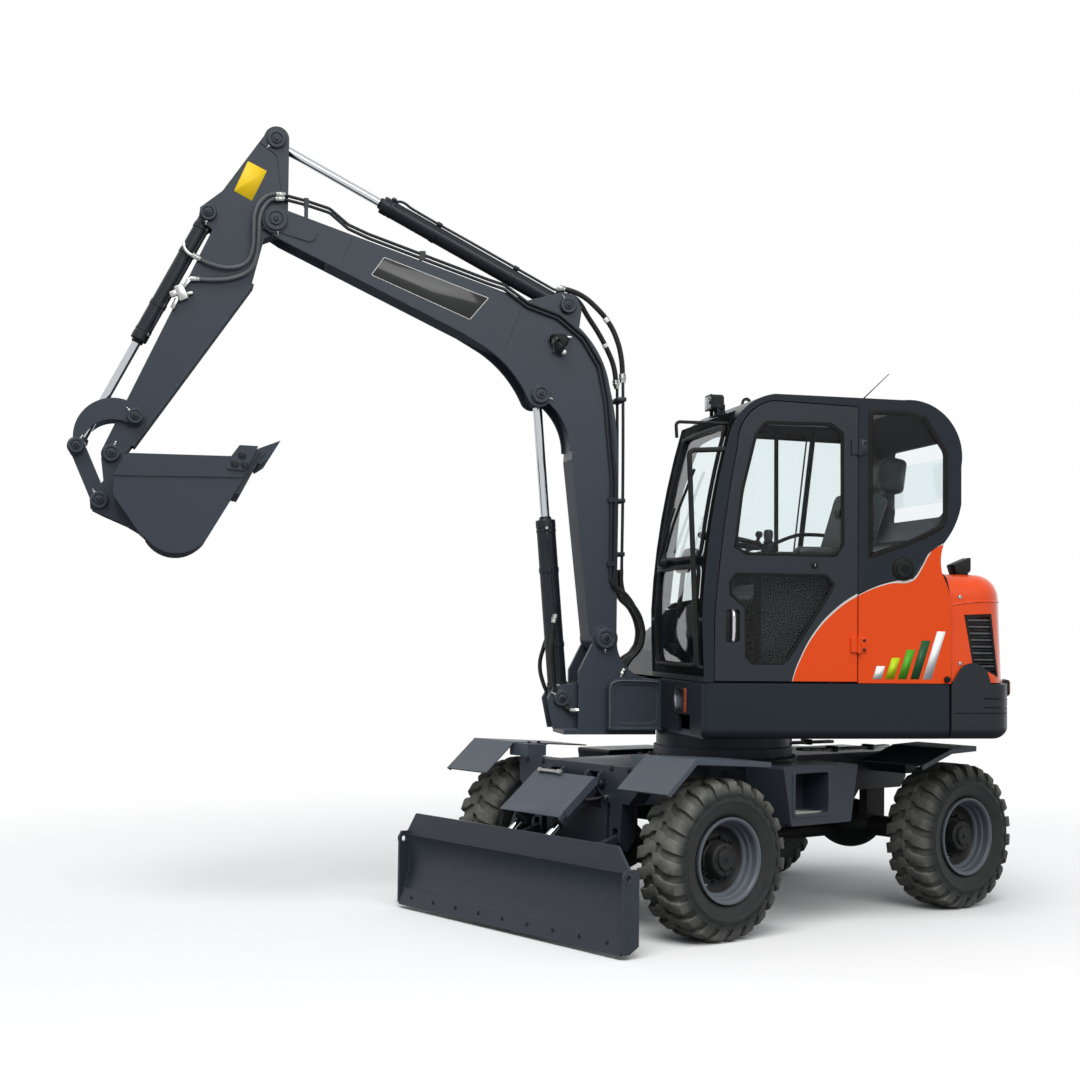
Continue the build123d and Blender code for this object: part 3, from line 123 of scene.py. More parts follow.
def bump(tree, height, strength, distance, **more):
    return addNode(tree, "Bump", {"Height": height, "Strength": strength, "Distance": distance,
        **more}).outputs[0]


def objectPlace(tree):
    return addNode(tree, "TexCoord").outputs["Object"]


def newMaterial(name):
    made = bpy.data.materials.new(name)
    made.use_nodes = True
    made.node_tree.nodes.clear()
    return made, made.node_tree


def output(tree, shader):
    addNode(tree, "OutputMaterial", {"Surface": shader.outputs[0]})


def principled(tree, **settings):
    # the words of a socket's name are joined by underscores here
    settings = {key.replace("_", " "): value for key, value in settings.items()}
    output(tree, addNode(tree, "BsdfPrincipled", settings))


studio = {"skyLight": 0.52, "skyColour": "#F7F9FF", "sunLight": 1.7, "sunFrom": (0.25, 0.5, 0.83),
    "sunSoftness": 35, "boxPlace": (-0.6, 10.5, 7.4), "boxAim": (0.4, 0.2, 2.6), "boxSize": (9.0, 4.0),
    "boxLight": 560, "floorSize": 160, "floorColour": "#F1F1F0", "bounceColour": "#77797D", "fadeFrom": 3.4,
    "fadeTo": 7.5}


def seenPlainly(tree):
    # 1 for what the lens, a mirror or a pane shows, 0 for light that only bounces
    rays = addNode(tree, "LightPath").outputs
    straight = maths(tree, "MAXIMUM", rays["Is Camera Ray"], rays["Is Transmission Ray"])
    return maths(tree, "MAXIMUM", straight, rays["Is Glossy Ray"])


def aimLamp(lamp, direction):
    lamp.rotation_euler = turnTo(direction)


def lightStudio(setup):
    world = bpy.data.worlds.new("pale room")
    bpy.context.scene.world = world
    world.use_nodes = True
    tree = world.node_tree
    tree.nodes.clear()
    room = addNode(tree, "Background", {"Color": srgb(setup["skyColour"]), "Strength": setup["skyLight"]})
    white = addNode(tree, "Background", {"Color": (1, 1, 1, 1), "Strength": 1})
    mixed = mixShaders(tree, seenPlainly(tree), room, white)
    addNode(tree, "OutputWorld", {"Surface": mixed.outputs[0]})
    bpy.ops.object.light_add(type="SUN")
    sun = bpy.context.object
    sun.data.energy = setup["sunLight"]
    sun.data.angle = radians(setup["sunSoftness"])
    aimLamp(sun, setup["sunFrom"])

    bpy.ops.object.light_add(type="AREA", location=setup["boxPlace"])
    softBox = bpy.context.object
    softBox.data.shape = "RECTANGLE"
    softBox.data.size, softBox.data.size_y = setup["boxSize"]
    softBox.data.energy = setup["boxLight"]
    aimLamp(softBox, Vector(setup["boxPlace"]) - Vector(setup["boxAim"]))
    softBox.visible_camera = False

    # floor: pale and shadowed near the machine, plain white further out, and a darker one for
    # the light that bounces up under the machine
    bpy.ops.mesh.primitive_plane_add(size=setup["floorSize"])
    floor = bpy.context.object
    floor.name = "floor"
    paper, tree = newMaterial("matt floor paper")
    fade = addNode(tree, "MapRange", {"interpolation_type": "SMOOTHSTEP",
        "Value": vectorMaths(tree, "LENGTH", objectPlace(tree)), "From Min": setup["fadeFrom"],
        "From Max": setup["fadeTo"]})
    share = maths(tree, "MULTIPLY", fade.outputs[0], seenPlainly(tree))
    pale = mixTones(tree, seenPlainly(tree), setup["bounceColour"], setup["floorColour"])
    matt = addNode(tree, "BsdfDiffuse", {"Color": pale})
    glow = addNode(tree, "Emission", {"Strength": 1.0})
    output(tree, mixShaders(tree, share, matt, glow))
    floor.data.materials.append(paper)
    bpy.context.scene.view_settings.view_transform = "Standard"


def turnTo(direction):
    # the turn that carries +Z onto a direction
    return Vector(direction).to_track_quat("Z", "Y").to_euler()


aimCamera(camera)
lightStudio(studio)
print("camera and light set")

# materials


def paintCoat(tree, colour, rough, peel=0.0006, dust=0.12, dustColour="#8B867B", coat=0.0, shine=0.2,
        edge="#3A4148", wear=0.0):
    # Sprayed enamel: a smooth gloss with a fine orange peel, a little dust on what faces up,
    # slow changes of gloss where it was wiped, and dry matt overspray on what faces the ground.
    # peel is the height of the peel in metres, and colour is a socket where there are two tones.
    # Edges are rounded by a few millimetres of paint, and in broken dashes they take the lighter edge colour,
    # partly as wear and partly as a painted highlight along the edges.
    place = objectPlace(tree)
    normal = addNode(tree, "NewGeometry").outputs["Normal"]
    height = addNode(tree, "SeparateXYZ", {0: normal}).outputs["Z"]
    cloud = noise(tree, place, 2.3, 8.0, 0.62)
    patch = remap(tree, cloud, 0.42, 0.72)
    mask = maths(tree, "MULTIPLY_ADD", remap(tree, height, 0.25, 1.0), patch, 0.12)
    fine = maths(tree, "MULTIPLY", mask, noise(tree, place, 140.0, 3.0))
    dusty = mixTones(tree, maths(tree, "MULTIPLY", fine, dust * 2), colour, dustColour)
    rounded = addNode(tree, "Bevel", {"samples": 4, "Radius": 0.005}).outputs[0]
    # the lighter edge colour in broken dashes along the edges: partly wear, partly a painted highlight
    onEdge = remap(tree, vectorMaths(tree, "DOT_PRODUCT", rounded, normal), 0.985, 0.9, 0.0, wear)
    chipsAndGlints = remap(tree, noise(tree, place, 31.0, 6.0, 0.7), 0.4, 0.56)
    tone = mixTones(tree, maths(tree, "MULTIPLY", onEdge, chipsAndGlints), dusty, edge)
    gloss = remap(tree, cloud, 0.3, 0.7, rough - 0.05, rough + 0.09)
    under = remap(tree, height, 0.04, -0.3, rough, 0.95)
    relief = bump(tree, noise(tree, place, 260.0, 2.0), 0.12, peel, Normal=rounded)
    principled(tree, IOR=1.5, Specular_IOR_Level=shine, Coat_Weight=coat, Coat_Roughness=0.08,
        Base_Color=tone, Roughness=maths(tree, "MAXIMUM", gloss, under), Normal=relief)


def enamel(name, code, rough, **more):
    made, tree = newMaterial(name)
    paintCoat(tree, code, rough, **more)
    return made


# where the orange ends on the cab's side, as (x, z): it sweeps up from the sill to the back pillar
colourBreak = {"line": ((-1.0, 2.073), (-0.955, 2.073), (-0.909, 2.065), (-0.873, 2.024), (-0.822, 1.935),
    (-0.779, 1.88), (-0.636, 1.858), (-0.455, 1.788), (-0.309, 1.686), (-0.212, 1.578), (-0.142, 1.458),
    (-0.09, 1.321), (-0.06, 1.0)), "foot": 1.0, "rise": 1.2, "paleLineWidth": 0.007, "upper": "#20262D",
    "lower": "#DE4604", "stripe": "#C9C9C4"}


def twoToneEnamel(name, setup):
    # orange below the break, charcoal above it, and a pale line masked onto the break, partly a pinstripe and
    # partly a painted highlight of the panel's rounded seam edge
    made, tree = newMaterial(name)
    place = addNode(tree, "SeparateXYZ", {0: objectPlace(tree)}).outputs
    edge = addNode(tree, "FloatCurve", {"Value": remap(tree, place["X"], -1.0, 0.0)})
    curve = edge.mapping.curves[0]
    for spot, (x, z) in enumerate(setup["line"]):
        where = (x + 1.0, (z - setup["foot"]) / setup["rise"])
        if spot < 2:
            curve.points[spot].location = where
        else:
            curve.points.new(*where)
    edge.mapping.update()
    height = maths(tree, "MULTIPLY_ADD", edge.outputs[0], setup["rise"], setup["foot"])
    above = maths(tree, "SUBTRACT", place["Z"], height)
    # the pale line along the break: partly a pinstripe, partly a painted highlight of the rounded seam edge
    onPaleLine = maths(tree, "LESS_THAN", maths(tree, "ABSOLUTE", above), setup["paleLineWidth"])
    body = mixTones(tree, maths(tree, "GREATER_THAN", above, 0.0), setup["lower"], setup["upper"])
    paintCoat(tree, mixTones(tree, onPaleLine, body, setup["stripe"]), 0.28, dust=0.04, coat=0.1)
    return made


def metal(name, code, rough, grain=0.0):
    # bare or plated metal: faint handling marks in the gloss, and a fine grain where it was cast
    made, tree = newMaterial(name)
    place = objectPlace(tree)
    gloss = remap(tree, noise(tree, place, 38.0, 6.0), 0.3, 0.7, rough * 0.8, rough * 1.3)
    principled(tree, Base_Color=srgb(code), Metallic=1.0, Roughness=gloss,
        Normal=bump(tree, noise(tree, place, 220.0, 2.0), 0.2, grain))
    return made


def moulded(name, code, rough, grainSize=0.0012, depth=0.0002, dust=0.1, sheen=0.0, shine=0.2):
    # moulded rubber or plastic: a leathery grain cut in the tool, and dust lying in it
    made, tree = newMaterial(name)
    place = objectPlace(tree)
    cells = addNode(tree, "TexVoronoi", {"Vector": place, "Scale": 1 / grainSize}).outputs["Distance"]
    cloud = noise(tree, place, 9.0, 7.0, 0.65)
    principled(tree, IOR=1.5, Specular_IOR_Level=shine, Sheen_Weight=sheen,
        Base_Color=mixTones(tree, remap(tree, cloud, 0.4, 0.75, 0.0, dust * 3), code, "#77736A"),
        Roughness=remap(tree, cloud, 0.3, 0.7, rough - 0.06, rough + 0.1),
        Normal=bump(tree, cells, 0.15, depth))
    return made


def clearPane(name, code, rough=0.0, ior=1.5):
    # see-through glass or polycarbonate that lets the light of the lamps pass
    made, tree = newMaterial(name)
    shadowRay = addNode(tree, "LightPath").outputs["Is Shadow Ray"]
    shader = addNode(tree, "BsdfPrincipled", {"Base Color": srgb(code), "Transmission Weight": 1.0,
        "Roughness": rough, "IOR": ior})
    passing = addNode(tree, "BsdfTransparent", {"Color": srgb(code)})
    output(tree, mixShaders(tree, shadowRay, shader, passing))
    return made


def cloth(name, code, thread=0.0016, wrap=0.0):
    # woven seat cloth: over and under threads. wrap lays the clear packing film over it, which
    # shows as long sharp creases with a wet gloss
    made, tree = newMaterial(name)
    place = objectPlace(tree)
    warp, weft = (addNode(tree, "TexWave", {"Vector": place, "Scale": 0.16 / thread,
        "bands_direction": way}).outputs["Fac"] for way in "ZY")
    crease = noise(tree, place, 16.0, 6.0, distortion=2.4)
    principled(tree, Roughness=0.8, Specular_IOR_Level=0.08, Sheen_Weight=0.05, Coat_Weight=wrap,
        Coat_Roughness=0.12, Base_Color=mixTones(tree, noise(tree, place, 11.0, 5.0), code, "#2B3235"),
        Normal=bump(tree, maths(tree, "MULTIPLY", warp, weft), 0.4, 0.0005),
        Coat_Normal=bump(tree, crease, 0.9, 0.012))
    return made


def wheelRubber(name, centre, axle):
    # moulded tyre rubber: near black on the walls, with grey brown dust packed on the tread and
    # rubbed thin on the walls. The dust is placed by the distance from the axle.
    made, tree = newMaterial(name)
    place = objectPlace(tree)
    fromHub = vectorMaths(tree, "SUBTRACT", place, centre)
    reach = vectorMaths(tree, "LENGTH", vectorMaths(tree, "CROSS_PRODUCT", fromHub, axle))
    lumps = remap(tree, noise(tree, place, 13.0, 8.0, 0.7), 0.3, 0.66, 0.35)
    packed = maths(tree, "MULTIPLY", remap(tree, reach, 0.335, 0.392), lumps)
    dust = maths(tree, "MAXIMUM", packed, maths(tree, "MULTIPLY", lumps, 0.12))
    principled(tree, IOR=1.5, Specular_IOR_Level=0.15, Base_Color=mixTones(tree, dust, "#1C2022", "#74746C"),
        Roughness=remap(tree, dust, 0.0, 1.0, 0.5, 0.9), Normal=bump(tree, noise(tree, place, 120.0, 4.0),
        0.3, 0.0015))
    return made


# each paint's lighter edge colour stands partly for wear and partly for a painted highlight along its edges
slatePaint = enamel("slate enamel on steel", "#333B44", 0.33, wear=0.6, edge="#6B7278")
cabPaint = enamel("charcoal enamel on pressed steel", "#20262D", 0.28, dust=0.05, shine=0.12, wear=0.25,
    edge="#4C535A")
chassisPaint = enamel("blue grey enamel on plate", "#272E38", 0.34, dust=0.12, wear=0.5, edge="#5F686F",
    shine=0.25)
castPaint = enamel("charcoal enamel on cast iron", "#1E2328", 0.4, peel=0.0016, dust=0.06, wear=0.2)
axlePaint = enamel("black enamel on castings", "#101215", 0.5, peel=0.0014, dust=0.25)
gritPaint = enamel("grit coat on plate", "#3A444F", 0.42, peel=0.004, dust=0.2, shine=0.35, wear=0.4,
    edge="#7C8790")
rimPaint = enamel("grey enamel on spun steel", "#555C63", 0.34, dust=0.16, shine=0.3)
orangePaint = enamel("orange enamel on pressed steel", "#DE4604", 0.25, dust=0.03, coat=0.35, shine=0.2)
barrelPaint = enamel("black enamel on cylinder tube", "#1C2127", 0.28, dust=0.05, shine=0.25)
ironPaint = enamel("heat proof grey on cast iron", "#3B3C3D", 0.6, peel=0.002, dust=0.3, coat=0.0)
twoTone = twoToneEnamel("two tone enamel on pressed steel", colourBreak)
chrome = metal("hard chrome, ground", "#C2C6CA", 0.09)
zinc = metal("zinc plated steel", "#A2A4A2", 0.3, grain=0.0002)
darkZinc = metal("black oxide steel", "#2C2F32", 0.38, grain=0.0002)
sealRubber = moulded("extruded seal rubber", "#0C0D0F", 0.5, dust=0.02, shine=0.12)
sleeveGrey = moulded("grey braided hose sleeve", "#43484B", 0.4, grainSize=0.003, depth=0.0004, dust=0.05,
    shine=0.5)
hoseRubber = moulded("wrapped hydraulic hose", "#101113", 0.42, grainSize=0.004, depth=0.0006, dust=0.04)
blackPlastic = moulded("grained black polypropylene", "#121416", 0.44, dust=0.03, shine=0.15)
trimPlastic = moulded("grained dark grey trim", "#121517", 0.6, depth=0.00005, dust=0.01, shine=0.06)
frameBlack = moulded("matt black screen frame", "#0D0E10", 0.7, depth=0.00005, dust=0.0, shine=0.02)
matRubber = moulded("ribbed floor rubber", "#131415", 0.85, grainSize=0.006, shine=0.05)
seatCloth = cloth("seat cloth under packing film", "#0E1214", wrap=0.3)
cabGlass = clearPane("tinted safety glass", "#F0F6F7", ior=1.2)
lampGlass = clearPane("clear polycarbonate lens", "#F2F4F4", rough=0.02, ior=1.58)
amberLens = enamel("amber acrylic reflector", "#C2410E", 0.12, dust=0.0, coat=1.0)
redLens = enamel("red acrylic reflector", "#8F1410", 0.12, dust=0.0, coat=1.0)
plateYellow = enamel("yellow vinyl film", "#F2CB12", 0.45, dust=0.03, shine=0.3)
badgeBlack = enamel("black enamelled plate", "#101113", 0.3, dust=0.02, coat=0.5)
filmColours = {"white": "#F1F2EE", "lime": "#B8D20E", "green": "#4FA11F", "deep": "#16502A"}
vinyl = {tone: enamel(tone + " vinyl film", code, 0.4, dust=0.02, coat=0.0, shine=0.3)
    for tone, code in filmColours.items()}

for names, made in (
    (("boom", "arm", "bucket", "guide_link", "push_link", "boom_bracket", "upper_frame"), slatePaint),
    (("left_skirt", "right_skirt", "cab_shell", "right_cover"), cabPaint),
    (("cab_door", "left_side_panel"), twoTone),
    (("front_fenders", "rear_fenders", "blade_cover"), gritPaint),
    (("chassis_frame", "step_boxes", "dozer_blade", "blade_arms",
      "blade_cylinder_barrels", "swing_bearing"), chassisPaint),
    (("counterweight",), castPaint),
    (("engine_hood",), orangePaint),
    (("front_axle", "rear_axle", "drive_line", "left_knuckle", "right_knuckle", "tie_rod"), axlePaint),
    ([corner + "_rim" for corner in wheels], rimPaint),
    (("boom_cylinder_barrel", "arm_cylinder_barrel", "bucket_cylinder_barrel", "boom_pipes"), barrelPaint),
    (("boom_cylinder_rod", "arm_cylinder_rod", "bucket_cylinder_rod", "blade_cylinder_rods"), chrome),
    (("cab_glass", "door_glass"), cabGlass),
    (("hood_grilles", "steering_column", "cab_fittings"), blackPlastic),
    (("control_consoles",), trimPlastic),
    (("seat_base",), axlePaint),
    (("seat_cushion", "seat_backrest"), seatCloth),
    (("engine_block",), ironPaint),
):
    for name in names:
        for entry in node[name].material_slots:
            entry.material = made
slots = {"chrome": (chrome, zinc, darkZinc), "cab_glass": (lampGlass,), "seat_fabric": (seatCloth,),
    "body_paint": (slatePaint, cabPaint, twoTone, rimPaint, plateYellow, badgeBlack),
    "accent_paint": (orangePaint, redLens, amberLens), "chassis_paint": (chassisPaint, gritPaint),
    "axle_paint": (axlePaint, barrelPaint)}
usualSlot = {made.name: slot for slot, group in slots.items() for made in group}
print("materials made")

# modelling tools


def dropAll():
    bpy.ops.object.select_all(action="DESELECT")


def openMesh():
    bpy.ops.object.mode_set(mode="EDIT")


def closeMesh():
    bpy.ops.object.mode_set(mode="OBJECT")


def pickAll():
    bpy.ops.mesh.select_all(action="SELECT")


def pushOut(move):
    bpy.ops.mesh.extrude_region_move(TRANSFORM_OT_translate={"value": move})


def evenNormals():
    bpy.ops.mesh.normals_make_consistent(inside=False)


def settle(modifier):
    bpy.ops.object.modifier_apply(modifier=modifier.name)


def soften(made, width, segments=2):
    # a rounded edge wherever two faces meet at more than 30 degrees
    modifier = made.modifiers.new("soft edges", "BEVEL")
    modifier.width = width
    modifier.segments = segments
    modifier.angle_limit = radians(30)
    return made


def addRod(start, end, radius, bevel=0.002, sides=24, topRadius=None):
    dropAll()
    start, end = Vector(start), Vector(end)
    bpy.ops.mesh.primitive_cone_add(vertices=sides, radius1=radius, depth=(end - start).length,
        radius2=radius if topRadius is None else topRadius, location=(start + end) / 2,
        rotation=turnTo(end - start))
    return soften(bpy.context.object, bevel)


def addBlock(centre, size, bevel=0.003, turn=(0, 0, 0)):
    dropAll()
    bpy.ops.mesh.primitive_cube_add(size=1, location=centre, rotation=turn)
    made = bpy.context.object
    made.scale = size
    bpy.ops.object.transform_apply(location=False, rotation=False)
    return soften(made, bevel)


def addHose(points, radius, sides=3, stretch=8):
    # a smooth run through its points
    dropAll()
    bpy.ops.curve.primitive_bezier_curve_add()
    made = bpy.context.object
    spline = made.data.splines[0]
    spline.bezier_points.add(len(points) - 2)
    for control, place in zip(spline.bezier_points, points):
        control.co = place
        control.handle_left_type = control.handle_right_type = "AUTO"
    made.data.dimensions = "3D"
    made.data.bevel_depth = radius
    made.data.bevel_resolution = sides
    made.data.resolution_u = stretch
    made.data.use_fill_caps = True
    return made


def penStroke(corners):
    # in edit mode: one point, then drawn from corner to corner
    dropAll()
    bpy.ops.mesh.primitive_plane_add(size=0.01)
    made = bpy.context.object
    openMesh()
    bpy.ops.mesh.merge(type="CENTER")
    bpy.ops.transform.translate(value=corners[0])
    for before, after in zip(corners, corners[1:]):
        pushOut(Vector(after) - Vector(before))
    pickAll()
    return made


def endStroke(made, bevel=0.0):
    pickAll()
    bpy.ops.mesh.remove_doubles(threshold=1e-5)
    evenNormals()
    closeMesh()
    return soften(made, bevel) if bevel else made


def lathe(profile, place, axis, steps=28):
    # a profile of (radius, height) corners spun once round its axis
    made = penStroke([(r, 0, h) for r, h in profile])
    bpy.ops.mesh.spin(steps=steps, angle=2 * pi, center=(0, 0, 0), axis=(0, 0, 1))
    endStroke(made)
    made.location = place
    made.rotation_euler = turnTo(axis)
    return made


def drawPlate(corners, push, bevel=0.0015, rounded=0.0):
    # an outline filled and pushed out by its thickness
    made = penStroke(corners)
    bpy.ops.mesh.edge_face_add()
    if rounded:
        bpy.ops.mesh.bevel(offset=rounded, segments=4, affect="VERTICES")
        pickAll()
    pushOut(push)
    return endStroke(made, bevel)


def oblong(x, y, z, half, rise):
    # the corners of an upright oblong that faces along x
    return [(x, y + side * half, z + end * rise) for side, end in ((-1, -1), (1, -1), (1, 1), (-1, 1))]


def drawBand(corners, width, push, bevel=0.0015, rounded=0.03):
    # a flat band just inside an outline, with rounded corners
    made = penStroke(corners)
    bpy.ops.mesh.edge_face_add()
    bpy.ops.mesh.bevel(offset=rounded, segments=5, affect="VERTICES")
    pickAll()
    bpy.ops.mesh.inset(thickness=width, depth=0)
    bpy.ops.mesh.delete(type="FACE")
    pickAll()
    pushOut(push)
    return endStroke(made, bevel)


def copyTo(masters, spots):
    # copies, each with its own mesh, set down at (place, facing); the masters go
    made = []
    bpy.context.view_layer.update()
    for place, facing in spots:
        setDown = Matrix.Translation(place) @ turnTo(facing).to_matrix().to_4x4()
        for master in masters:
            twin = master.copy()
            twin.data = master.data.copy()
            bpy.context.collection.objects.link(twin)
            twin.matrix_world = setDown @ master.matrix_world
            made.append(twin)
    for master in masters:
        bpy.data.objects.remove(master)
    return made


def makeMesh(parts):
    # modifiers and curves turned into plain mesh, and all the parts joined
    dropAll()
    for part in parts:
        part.select_set(True)
    bpy.context.view_layer.objects.active = parts[0]
    bpy.ops.object.convert(target="MESH")
    if len(parts) > 1:
        bpy.ops.object.join()
    return bpy.context.object


def finish(parts, name, material, body, standsFor=(), angle=32, paintSlot=None):
    made = makeMesh(parts)
    bpy.ops.object.transform_apply()
    bpy.ops.object.shade_smooth_by_angle(angle=radians(angle))
    made.name = made.data.name = name
    made.data.materials.clear()
    made.data.materials.append(material)
    paintSlot = paintSlot or usualSlot.get(material.name, "black_plastic")
    if standsFor:
        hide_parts(*standsFor)
    if body:
        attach(made, body)
    return made


def onChassis(x, y, z):
    # a place in the undercarriage's own directions, in the shared frame
    return Vector((x * cos(heading) - y * sin(heading), x * sin(heading) + y * cos(heading), z))


def hexBolts(spots, size=0.018, washer=True):
    # a chamfered hexagon head on a turned washer, copied to every (place, facing)
    masters = [lathe([(0, size * 0.62), (size * 0.5, size * 0.62), (size * 0.58, size * 0.52),
        (size * 0.58, 0)], (0, 0, 0), upward, steps=6)]
    if washer:
        masters.append(lathe([(0, size * 0.14), (size * 0.8, size * 0.14), (size * 0.92, size * 0.08),
            (size * 0.92, 0)], (0, 0, 0), upward, steps=18))
    return copyTo(masters, spots)

# tyres

tyre = {"lugs": 23, "baseRadius": 0.393, "lugHalf": 0.03,
    "wall": ((0.2105, 0.104), (0.229, 0.121), (0.248, 0.134), (0.282, 0.1455), (0.301, 0.1485),
        (0.304, 0.1515), (0.31, 0.1515), (0.313, 0.149), (0.336, 0.1465), (0.339, 0.1495), (0.345, 0.149),
        (0.348, 0.144), (0.362, 0.135), (0.377, 0.122), (0.388, 0.104), (0.392, 0.078)),
    # lug from the middle out to the shoulder: (along the tread, outwards, height) of each step
    "steps": ((0.0, 0.03, 0.0), (0.024, 0.026, 0.0), (0.006, 0.036, 0.0), (0.008, 0.032, -0.011),
        (0.006, 0.015, -0.026), (0.004, 0.006, -0.024))}


def makeLug(setup, side):
    # drawn on the flat: x runs along the tread, -y is height and z is across it
    dropAll()
    half = setup["lugHalf"]
    bpy.ops.mesh.primitive_cube_add(size=1, location=(0, -0.008, 0))
    made = bpy.context.object
    made.scale = (2 * half, 0.028, 0.012)
    bpy.ops.object.transform_apply(rotation=False)
    openMesh()
    bpy.ops.mesh.select_all(action="DESELECT")
    closeMesh()
    for face in made.data.polygons:
        face.select = face.normal.z > 0.9
    openMesh()
    for along, outward, height in setup["steps"]:
        pushOut((along, -height, outward))
    closeMesh()
    if side < 0:
        openMesh()
        pickAll()
        bpy.ops.transform.resize(value=(1, 1, -1), center_override=(0, 0, 0))
        evenNormals()
        closeMesh()
    return soften(made, 0.005, 2)


def outOf(corner):
    return acrossChassis if "left" in corner else -acrossChassis


def makeTyre(setup, corner):
    centre = pin[corner + "_spin"]
    outward = outOf(corner)
    around = 2 * pi * setup["baseRadius"]
    lugs = [makeLug(setup, 1), makeLug(setup, -1)]
    lugs[1].location.x = around / setup["lugs"] / 2
    tread = makeMesh(lugs)
    row = tread.modifiers.new("row", "ARRAY")
    row.count = setup["lugs"]
    row.use_relative_offset = False
    row.use_constant_offset = True
    row.constant_offset_displace = (around / setup["lugs"], 0, 0)
    settle(row)
    roll = tread.modifiers.new("roll", "SIMPLE_DEFORM")
    roll.deform_method = "BEND"
    roll.deform_axis = "Z"
    roll.angle = 2 * pi * tread.dimensions.x / around
    settle(roll)
    openMesh()
    pickAll()
    bpy.ops.transform.translate(value=(0, -setup["baseRadius"], 0))
    if "right" in corner:
        bpy.ops.transform.resize(value=(1, -1, 1), center_override=(0, 0, 0))
    evenNormals()
    closeMesh()
    across = outward.to_track_quat("Z", "Y")
    tread.location, tread.rotation_euler = centre, across.to_euler()
    wall = list(setup["wall"])
    profile = wall + [(r, -a) for r, a in reversed(wall)] + [wall[0]]
    carcass = lathe(profile, centre, outward, steps=72)
    rubber = wheelRubber(corner.replace("_", " ") + " tyre rubber", centre, acrossChassis)
    finish([carcass, tread], corner + "_moulded_tyre", rubber, corner + "_wheel", [corner + "_tyre"],
        paintSlot="tyre", angle=40)


for corner in wheels:
    makeTyre(tyre, corner)
print("tyres made")

# wheel studs, nuts and valves

wheelNuts = {"studs": 8, "circle": 0.113, "face": 0.028, "size": 0.024, "valve": (0.182, 0.066, -38)}

for corner in wheels:
    centre = pin[corner + "_spin"]
    outward = outOf(corner)
    sideways = outward.cross(upward)
    spots = []
    for stud in range(wheelNuts["studs"]):
        angle = 2 * pi * (stud + 0.25) / wheelNuts["studs"]
        reach = (sideways * cos(angle) + upward * sin(angle)) * wheelNuts["circle"]
        spots.append((centre + reach + outward * wheelNuts["face"], outward))
    nuts = hexBolts(spots, wheelNuts["size"])
    nuts += [addRod(place, place + outward * 0.026, 0.007, sides=12) for place, facing in spots]
    finish(nuts, corner + "_wheel_nuts", darkZinc, corner + "_wheel")
    radius, depth, turn = wheelNuts["valve"]
    foot = centre + (sideways * cos(radians(turn)) + upward * sin(radians(turn))) * radius
    foot += outward * depth
    valve = [lathe([(0, 0.044), (0.0045, 0.044), (0.0052, 0.03), (0.0042, 0.029), (0.0042, 0.014),
        (0.01, 0.01), (0.012, 0.0), (0, 0)], foot, outward, steps=14)]
    finish(valve, corner + "_valve", zinc, corner + "_wheel")
print("wheel hardware made")

# pins: a stepped collar and a bolt on each end, with a grease nipple on its rim

boomMiddle = pin["boom_lift"].y
pinEnds = {
    # body: (x, z, how far each end stands from the boom's middle, radius, which way the nipple points)
    "upper": ((0.717, 1.532, 0.17, 0.06, -90), (0.955, 1.187, 0.104, 0.046, 30)),
    "boom": ((2.629, 3.847, 0.127, 0.066, -100), (1.105, 2.927, 0.127, 0.054, 200),
             (0.943, 3.454, 0.096, 0.048, 60)),
    "arm": ((2.633, 4.308, 0.099, 0.053, -45), (3.0, 3.871, 0.099, 0.047, -80)),
    "guide_link": ((3.369, 2.717, 0.132, 0.044, 45), (3.677, 2.547, 0.132, 0.044, 120)),
    "bucket": ((3.491, 2.509, 0.144, 0.048, 110), (3.549, 2.252, 0.144, 0.048, 60)),
}


def pinCollar(radius, place, facing):
    # stepped like a turned cap: a wide rim, a groove, and a raised middle
    profile = [(0, 0.018), (radius * 0.44, 0.018), (radius * 0.5, 0.014), (radius * 0.5, 0.008),
        (radius * 0.6, 0.008), (radius * 0.66, 0.014), (radius * 0.9, 0.014), (radius, 0.006), (radius, 0)]
    return lathe(profile, place, facing, steps=36)


def greaseNipple(place, facing):
    return lathe([(0, 0.022), (0.004, 0.022), (0.0055, 0.017), (0.0035, 0.013), (0.0045, 0.009),
        (0.009, 0.008), (0.009, 0)], place, facing, steps=10)


for body, ends in pinEnds.items():
    collars, spots, nipples = [], [], []
    for x, z, reach, radius, turn in ends:
        for side in (1, -1):
            facing = Vector((0, side, 0))
            face = Vector((x, boomMiddle + side * reach, z))
            collars.append(pinCollar(radius, face, facing))
            spots.append((face + facing * 0.016, facing))
            rim = Vector((cos(radians(turn)), 0, sin(radians(turn))))
            nipples.append(greaseNipple(face + rim * radius + facing * -0.008, rim))
    finish(collars, body + "_pin_collars", slatePaint, body)
    finish(hexBolts(spots, 0.019), body + "_pin_bolts", darkZinc, body)
    finish(nipples, body + "_grease_nipples", zinc, body)
print("pins made")

# cylinders: gland, wiper seal, pipe along the tube with its straps, and end collar

rams = {
    # name: (base joint, pin of the eye, tube length, tube radius, rod radius, pipe's turn round the tube)
    "boom_cylinder": ("boom_cylinder_tilt", (1.105, 2.927), 1.025, 0.055, 0.027, 8),
    "arm_cylinder": ("arm_cylinder_tilt", (2.633, 4.308), 1.205, 0.05, 0.025, -62),
    "bucket_cylinder": ("bucket_cylinder_tilt", (3.677, 2.547), 0.8, 0.045, 0.025, 40),
}

